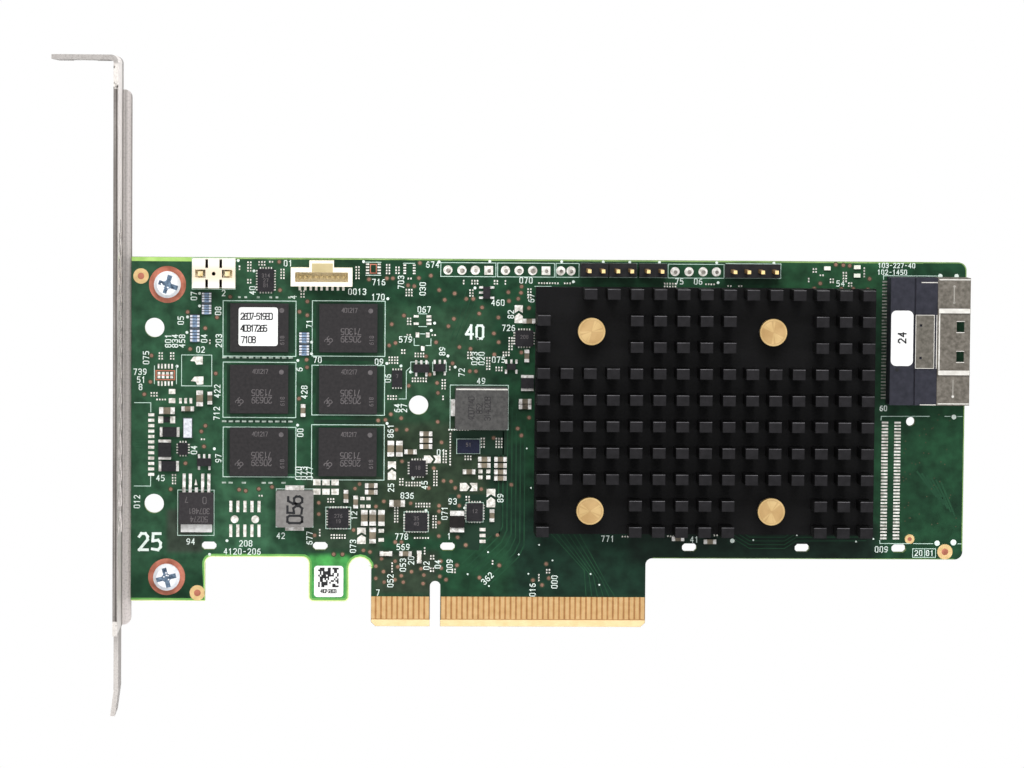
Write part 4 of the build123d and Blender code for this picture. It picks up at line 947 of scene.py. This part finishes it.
JUMPERS = (
    (-0.7, 31.1, 3.1, 1.4, "x"), (-8.15, 28.96, 3.4, 1.5, "y"), (6.05, 26.0, 3.2, 1.5, "x"),
    (10.2, 23.96, 3.4, 1.6, "y"), (15.05, 58.05, 3.3, 1.5, "y"), (-13.7, 16.85, 3.0, 1.6, "y"),
)
COIL_PAD = ((-1.15, -0.1), (-0.5, 0.7), (1.15, 0.75), (1.15, -0.7), (0, -0.8), (-0.3, -0.2))
SMALL_GROUPS = (
    (-36.4, 66.25, 1, 2), (-34.6, 66.5, 2, 4), (-34.6, 63.8, 2, 2), (-32.3, 67.1, 3, 2),
    (-30.6, 67.4, 2, 1), (-28.5, 65.2, 2, 4), (-50.8, 49.95, 2, 3), (-48.7, 49.95, 2, 3),
    (-52.0, 42.85, 3, 2), (-50.7, 41.9, 4, 1), (-41.8, 52.6, 1, 2), (-48.3, 27.2, 2, 4),
    (-43.0, 34.6, 2, 1), (-32.35, 24.2, 2, 1), (-14.7, 65.5, 2, 5), (-9.1, 66.2, 2, 4),
    (-7.35, 66.0, 2, 3), (-5.1, 64.5, 2, 1), (-5.2, 61.9, 3, 3), (-5.15, 56.6, 2, 3),
    (-5.2, 54.1, 2, 1), (-0.6, 54.1, 2, 1), (-3.2, 50.4, 4, 2), (-8.0, 49.4, 4, 3),
    (-6.2, 51.0, 2, 2), (-3.2, 45.8, 6, 2), (1.3, 45.0, 2, 4), (1.2, 42.5, 1, 2),
    (-8.2, 42.5, 4, 2), (4.85, 63.9, 1, 2), (6.9, 63.9, 3, 2), (10.8, 63.9, 2, 2),
    (12.55, 63.9, 1, 2), (6.3, 61.9, 2, 3), (9.5, 48.9, 2, 5), (11.5, 47.9, 3, 2),
    (12.8, 50.7, 3, 2), (13.6, 52.6, 2, 5), (2.4, 48.0, 1, 2), (6.0, 50.4, 2, 3),
    (-4.2, 26.5, 6, 2), (-0.1, 27.6, 2, 6), (2.6, 33.0, 1, 12), (1.6, 31.6, 2, 5),
    (-6.4, 26.9, 2, 3), (-2.4, 22.6, 6, 2), (-0.2, 19.5, 2, 5), (-2.6, 16.5, 6, 1),
    (5.9, 23.9, 2, 2), (-21.4, 17.4, 1, 3), (-18.0, 16.7, 6, 2), (-19.4, 23.4, 3, 2),
    (-7.3, 20.8, 2, 6), (3.4, 10.4, 2, 2), (-8.0, 11.0, 1, 4), (-2.0, 14.1, 1, 3),
    (-0.6, 12.9, 2, 2), (-0.6, 10.6, 2, 2), (11.6, 34.2, 3, 4), (8.6, 34.2, 2, 4),
    (5.9, 31.4, 3, 2), (4.1, 36.6, 8, 1), (19.2, 9.2, 1, 3), (20.9, 10.4, 2, 2),
    (10.6, 12.0, 1, 2), (20.5, 63.8, 8, 1), (24.0, 63.8, 3, 1), (43.0, 63.6, 5, 2),
    (50.4, 63.8, 4, 1), (54.0, 63.5, 2, 1), (56.0, 63.5, 2, 1), (69.8, 66.5, 2, 2),
    (68.7, 64.7, 1, 2), (71.1, 65.6, 2, 1), (75.4, 65.3, 2, 4), (79.0, 66.2, 1, 4),
    (76.4, 63.9, 2, 2), (73.0, 64.6, 2, 2), (17.0, 61.9, 2, 4), (35.4, 16.9, 4, 1),
    (43.6, 17.0, 3, 1), (52.0, 17.2, 2, 1), (-24.8, 61.5, 2, 3),
)
for row in LEADLESS:
    chip_pads(*row)
for row in LEFT_FOOTPRINTS:
    grid(*row)
for x, y in ((-44.25, 49.15), (-44.1, 45.45)):
    pads.polygon([(x + u, y + v) for u, v in COIL_PAD])
for row in PROGRAM_FOOTPRINTS:
    grid(*row)
pads.z = SHAPED_Z
for x in (-37.12, -33.31):
    pads.disc(x, 19.82, 0.72)
pads.z = SOLDER_Z
for row in FOOTPRINTS:
    grid(*row)
pads.z = SHAPED_Z
pads.polygon([(-44.55, 26.1), (-44.0, 26.1), (-44.28, 27.3)])
pads.z = SOLDER_Z
for row in ROW_FOOTPRINTS:
    grid(*row)
for row in JUMPERS:
    jumper(*row)
for x, y, across, rows in SMALL_GROUPS:
    grid(x, y, across, rows, 0.5, 0.52, 0.26, 0.3)
tab_face = Print(CERAMIC_TOP + FILM)
tab_face.box(-44.1, 18.15, 5.7, 1.15)
tab_face.make("regulator_tab_face", "bright_tin", "tin")
pads.z = PAD_CHIP_TOP + FILM
pads.box(-9.15, 13.6, 1.9, 0.7)
pads.box(-3.0, 13.0, 0.7, 1.9)
pads.make("solder_pads", "solder", "tin")

# Dim rows of pads between the memory chips
rows = Print(PAD_Z)
for y, columns in ((49.75, range(11)), (37.95, range(11)), (26.6, (0, 1, 3, 6, 7, 9))):
    for i in columns:
        rows.box(-39.1 + i * 1.22, y, 0.78, 0.32)
for i in (0, 1, 3, 5, 6, 8):
    rows.box(-36.4 + i * 1.15, 60.85, 0.5, 0.34)
rows.make("memory_pads", "ink_dim", "tin")

# Bare copper cores of two footprints
cores = Print(SOLDER_Z)
cores.outline(-49.95, 46.4, 3.4, 1.65, 0.22)
cores.box(-49.95, 46.4, 3.2, 0.2)
cores.outline(-11.8, 66.25, 1.1, 1.6, 0.18)
cores.make("copper_cores", "copper_ring", "gold_contacts")

# Header holes filled with solder, the last of each group of four square, with dark spots painted in as shade
# in the solder dimples
HEADER_HOLES = (
    1.93, 4.51, 6.98, 9.46, 12.54, 15.05, 17.56, 20.03, 22.77, 24.65, 43.89, 46.48, 49.08, 51.56,
)
SQUARE_HOLES = (9.46, 20.03)
filled = Print(SOLDER_Z)
# Painted shade in the dimples of the solder
craters = Print(SOLDER_Z + 0.006)
for x in HEADER_HOLES:
    if x in SQUARE_HOLES:
        filled.box(x, 66.1, 1.6, 1.6)
    else:
        filled.disc(x, 66.1, 0.85)
    craters.disc(x + 0.1, 66.0, random.uniform(0.3, 0.5), 9)
filled.make("header_holes", "solder", "tin")
craters.make("header_craters", "crater_grey", "tin")

# Digits on the memory chips with their round marks, on the small chips and on the regulator
CHIP_NUMBERS = (
    (-31.55, 64.9, "314"), (-31.55, 64.0, "27"), (-31.55, 63.1, "81"), (-3.4, 29.6, "18"),
    (-3.6, 20.2, "35"), (-3.6, 19.2, "40"), (-18.0, 20.6, "276"), (-18.0, 19.6, "19"),
    (7.2, 21.6, "12"), (5.95, 33.9, "51"), (-7.3, 46.5, "7"), (16.1, 53.9, "208"),
)
chip_marks = Print(MEMORY_TOP + FILM)
for x, y in ((-16.35, 55.3), (-32.7, 43.95), (-16.35, 43.95), (-32.7, 32.4), (-16.35, 32.4)):
    chip_marks.number("401217", x + 0.2, y + 3.3, 0.8, 0, 0.12, 0.1)
    chip_marks.disc(x + 4.1, y + 3.2, 0.45)
    chip_marks.number("71305", x + 0.5, y - 0.6, 1.1, 180, 0.15, 0.2)
    chip_marks.number("20639", x + 0.5, y - 2.0, 1.1, 180, 0.15, 0.2)
    chip_marks.number("618", x + 4.3, y - 2.2, 0.7, 90, 0.11)
    chip_marks.number("35", x - 3.6, y - 2.3, 1.1, 45, 0.15, 0.1)
chip_marks.disc(-28.6, 58.5, 0.45)
chip_marks.number("618", -28.5, 53.0, 0.7, 90, 0.11)
chip_marks.z = CHIP_TOP + FILM
for x, y, digits in CHIP_NUMBERS:
    chip_marks.number(digits, x, y, 0.62, 0, 0.1)
chip_marks.z = REGULATOR_TOP + FILM
chip_marks.number("7", -45.9, 23.6, 0.95, 180, 0.14)
chip_marks.number("0", -42.6, 23.5, 1.2, 180, 0.14)
chip_marks.number("307481", -43.6, 21.5, 0.95, 180, 0.14, 0.2)
chip_marks.number("50274", -43.6, 20.0, 0.95, 180, 0.14, 0.2)
chip_marks.make("chip_digits", "chip_ink", "chip_black")

# Digits of the large choke, and a painted highlight along its far edge
choke_digits = Print(CHOKE_TOP + FILM)
for i, digits in enumerate(("4007140", "852", "3140208")):
    choke_digits.number(digits, 6.3 + 1.5 * i, 40.8, 1.05, 90, 0.16, 0.1)
choke_digits.make("choke_digits", "choke_ink", "choke_grey")
choke_shine = Print(CHOKE_TOP + FILM)
choke_shine.box(8.25, 44.35, 9.5, 0.26)
choke_shine.make("choke_shine", "shell_highlight", "choke_grey")

# Black print on the labels and the small choke, the square code on the tab label, and two dark spots
dark = Print(MEMORY_LABEL_TOP + FILM)
dark.number("2607-51930", -33.2, 57.4, 1.15, 0, 0.2, 0.0)
dark.number("40817265", -33.7, 55.2, 1.15, 0, 0.2, 0.02)
dark.number("7108", -34.7, 53.1, 1.15, 0, 0.2, 0.08)
dark.z = LOW_CHOKE_TOP + FILM
dark.number("056", -26.0, 21.9, 2.7, 90, 0.42, 0.16)
dark.z = TAB_LABEL_TOP + FILM
for i in range(13):
    for j in range(11):
        if random.random() < 0.55:
            dark.box(-21.5 + i * 0.29, 7.45 + j * 0.33, 0.29, 0.33)
dark.number("4107-28603", -19.75, 6.55, 0.62, 0, 0.13, -0.04)
dark.z = PORT_LABEL_TOP + FILM
dark.number("24", 85.45, 54.4, 1.35, 90, 0.26)
dark.z = PORT_TOP + FILM
dark.disc(84.6, 48.5, 0.34, 10)
dark.z = SOLDER_Z + FILM
dark.box(-49.67, 38.18, 1.1, 1.0)
dark.make("dark_print", "black_ink", "chip_black")

# Painted shade: a tan sheet over the open key recess of the nine-way connector
key_recess = Print(NINE_WAY_TOP + FILM)
key_recess.box(-21.16, 66.46, 3.85, 1.66)
key_recess.make("key_recess", "key_tan", "cream_plastic")

# Resistor networks: two four-way arrays each, with pale side terminals, and one pale plain part
network_sides = Print(CERAMIC_TOP + FILM)
network_middles = Print(CERAMIC_TOP + FILM)
network_gaps = Print(CERAMIC_TOP + FILM + HAIR)
for x, y, length, width in ((-42.4, 59.7, 1.75, 4.1), (-44.55, 55.1, 1.75, 5.1), (-24.45, 52.35, 1.85, 4.4)):
    half = width / 2
    for part in (-1, 1):
        middle = y + part * (half / 2 + 0.08)
        span = half - 0.25
        network_middles.box(x, middle, length * 0.5, span)
        for k in range(4):
            spot = middle + (k - 1.5) * span / 4
            for side in (-1, 1):
                network_sides.box(x + side * length * 0.37, spot, length * 0.24, span / 4 * 0.7)
            network_gaps.box(x, spot + span / 8, length * 0.98, 0.13)
network_sides.box(-45.8, 36.7, 1.5, 3.5)
network_sides.make("network_sides", "network_light", "resistor_grey")
network_middles.make("network_middles", "network_blue", "resistor_grey")
network_gaps.make("network_gaps", "black_ink", "resistor_grey")

# Heat sink: pin tops painted paler than the near-black sides as lit faces, with a painted highlight along
# each far edge, but for the pins left out
FIN_LENGTH = 2.3
FIN_DEPTH = 1.9
FIN_MARGIN = 0.05
FIN_LEFT = 18.0 + FIN_MARGIN + FIN_LENGTH / 2
FIN_STEP_X = (62.6 - FIN_LENGTH - FIN_MARGIN - 0.9) / 14
FIN_LOW = 17.9 + FIN_DEPTH / 2
FIN_STEP_Y = (45.4 - FIN_DEPTH - FIN_MARGIN) / 9
PUSH_PINS = [(x, y) for x in (28.0, 61.3) for y in (22.5, 55.4)]
fin_tops = Print(FIN_TOP + HAIR)
fin_highlights = Print(FIN_TOP + HAIR + 0.006)
for column in range(15):
    for row in range(10):
        x = FIN_LEFT + column * FIN_STEP_X
        y = FIN_LOW + row * FIN_STEP_Y
        if any(abs(x - px) < 6.0 and abs(y - py) < 5.0 for px, py in PUSH_PINS):
            continue
        if row == 9 and column < 2:
            continue
        fin_tops.box(x, y, FIN_LENGTH - 0.04, FIN_DEPTH - 0.04)
        # Painted highlight along the far edge of each pin top
        fin_highlights.box(x, y + 0.9, FIN_LENGTH - 0.04, 0.1)
fin_tops.make("fin_tops", "fin_top", "black_fins")
fin_highlights.make("fin_highlights", "fin_edge_highlight", "black_fins")

# Push-pin heads: face painted a darker brass, with a painted highlight round the rim, painted highlights as
# fine rays, and a small centre mark
brass_highlights = Print(PUSH_PIN_TOP + HAIR)
brass_cores = Print(PUSH_PIN_TOP + HAIR)
for i, (x, y) in enumerate(PUSH_PINS):
    brass_highlights.z = PUSH_PIN_TOP + HAIR
    brass_highlights.ring(x, y, 2.2, 2.46, 36)
    brass_cores.z = PUSH_PIN_TOP + HAIR
    brass_cores.disc(x, y, 2.18, 36)
    brass_cores.z += 0.03
    brass_cores.disc(x, y, 0.16, 10)
    brass_highlights.z += FILM
    # Painted highlights: fine rays across each head
    for side in (0, math.pi):
        for turn, spread in ((0.0, 0.34), (0.5, 0.12), (-0.6, 0.1)):
            a = side + turn + 0.7 * i
            brass_highlights.polygon([(x, y)] + [around(x, y, 2.1, a + k * spread) for k in (-1, 0, 1)])
brass_highlights.make("head_highlights", "brass_highlight", "push_pin_brass")
brass_cores.make("head_cores", "brass_dark", "push_pin_brass")

# Screw heads: face painted pale as a highlight, the cross painted dark blue as shade and reflection in its
# recess, and painted glints
screw_faces = Print(SCREW_TOP + HAIR)
screw_cross = Print(SCREW_TOP + HAIR)
screw_glints = Print(SCREW_TOP + 0.03)
for x, y, tilt in SCREWS:
    screw_faces.disc(x, y, 1.84, 30)
    screw_cross.z = SCREW_TOP + HAIR + 0.006
    for k in range(4):
        tip = around(x, y, random.uniform(1.2, 1.6), tilt + k * math.pi / 2)
        screw_cross.line([(x, y), tip], random.uniform(0.7, 1.0))
    screw_cross.z = SCREW_TOP + HAIR + 0.008
    screw_cross.disc(x, y, 0.85, 9)
    for k in range(9):
        a = random.uniform(0, math.tau)
        screw_glints.disc(*around(x, y, random.uniform(0.4, 1.3), a), 0.15, 7)
screw_faces.make("screw_faces", "screw_highlight", "screw_steel")
screw_cross.make("screw_crosses", "cross_shade", "screw_steel")
screw_glints.make("screw_glints", "screw_highlight", "screw_steel")

# Cable port: painted highlights on the ribs, rims, window edges, ridges and outline of the latch plate, and
# grey side slits
PORT_Y = 53.7
SHELL_X = 95.1
SLIT_X = 95.0
WINDOW_X = 96.25
port_lines = Print(PORT_TOP + HAIR + 0.3)
for y in (PORT_Y - 5.7, PORT_Y + 5.7):
    port_lines.box(SHELL_X, y, 5.8, 0.86)
port_lines.z = PORT_TOP + HAIR
port_lines.box(SHELL_X, 65.15, 5.8, 0.22)
for x, width, length in ((92.35, 0.24, 10.6), (91.85, 0.14, 9.9), (91.3, 0.14, 9.9)):
    port_lines.box(x, PORT_Y, width, length)
port_lines.box(SHELL_X, 42.25, 5.8, 0.2)
for y in (64.6, 42.05):
    port_lines.box(90.4, y, 3.0, 0.16)
for y in (PORT_Y - 2.75, PORT_Y + 2.75):
    port_lines.box(WINDOW_X, y - 1.03, 1.5, 0.14)
    port_lines.box(WINDOW_X, y + 1.03, 1.5, 0.1)
port_lines.z = LATCH_PLATE_TOP + HAIR
port_lines.outline(89.65, PORT_Y, 3.4, 9.8, 0.1)
port_lines.z = PORT_TOP + HAIR
port_lines.disc(SLIT_X, 43.6, 0.24)
port_lines.make("port_lines", "shell_highlight", "port_metal")
port_slits = Print(PORT_TOP + HAIR)
for y in (62.4, 45.1):
    port_slits.line([(SLIT_X, y - 1.5), (SLIT_X, y + 1.5)], 0.2)
port_slits.disc(SLIT_X, 63.9, 0.24)
port_slits.disc(SLIT_X, 60.9, 0.24)
port_slits.make("port_slits", "slit_grey", "port_metal")
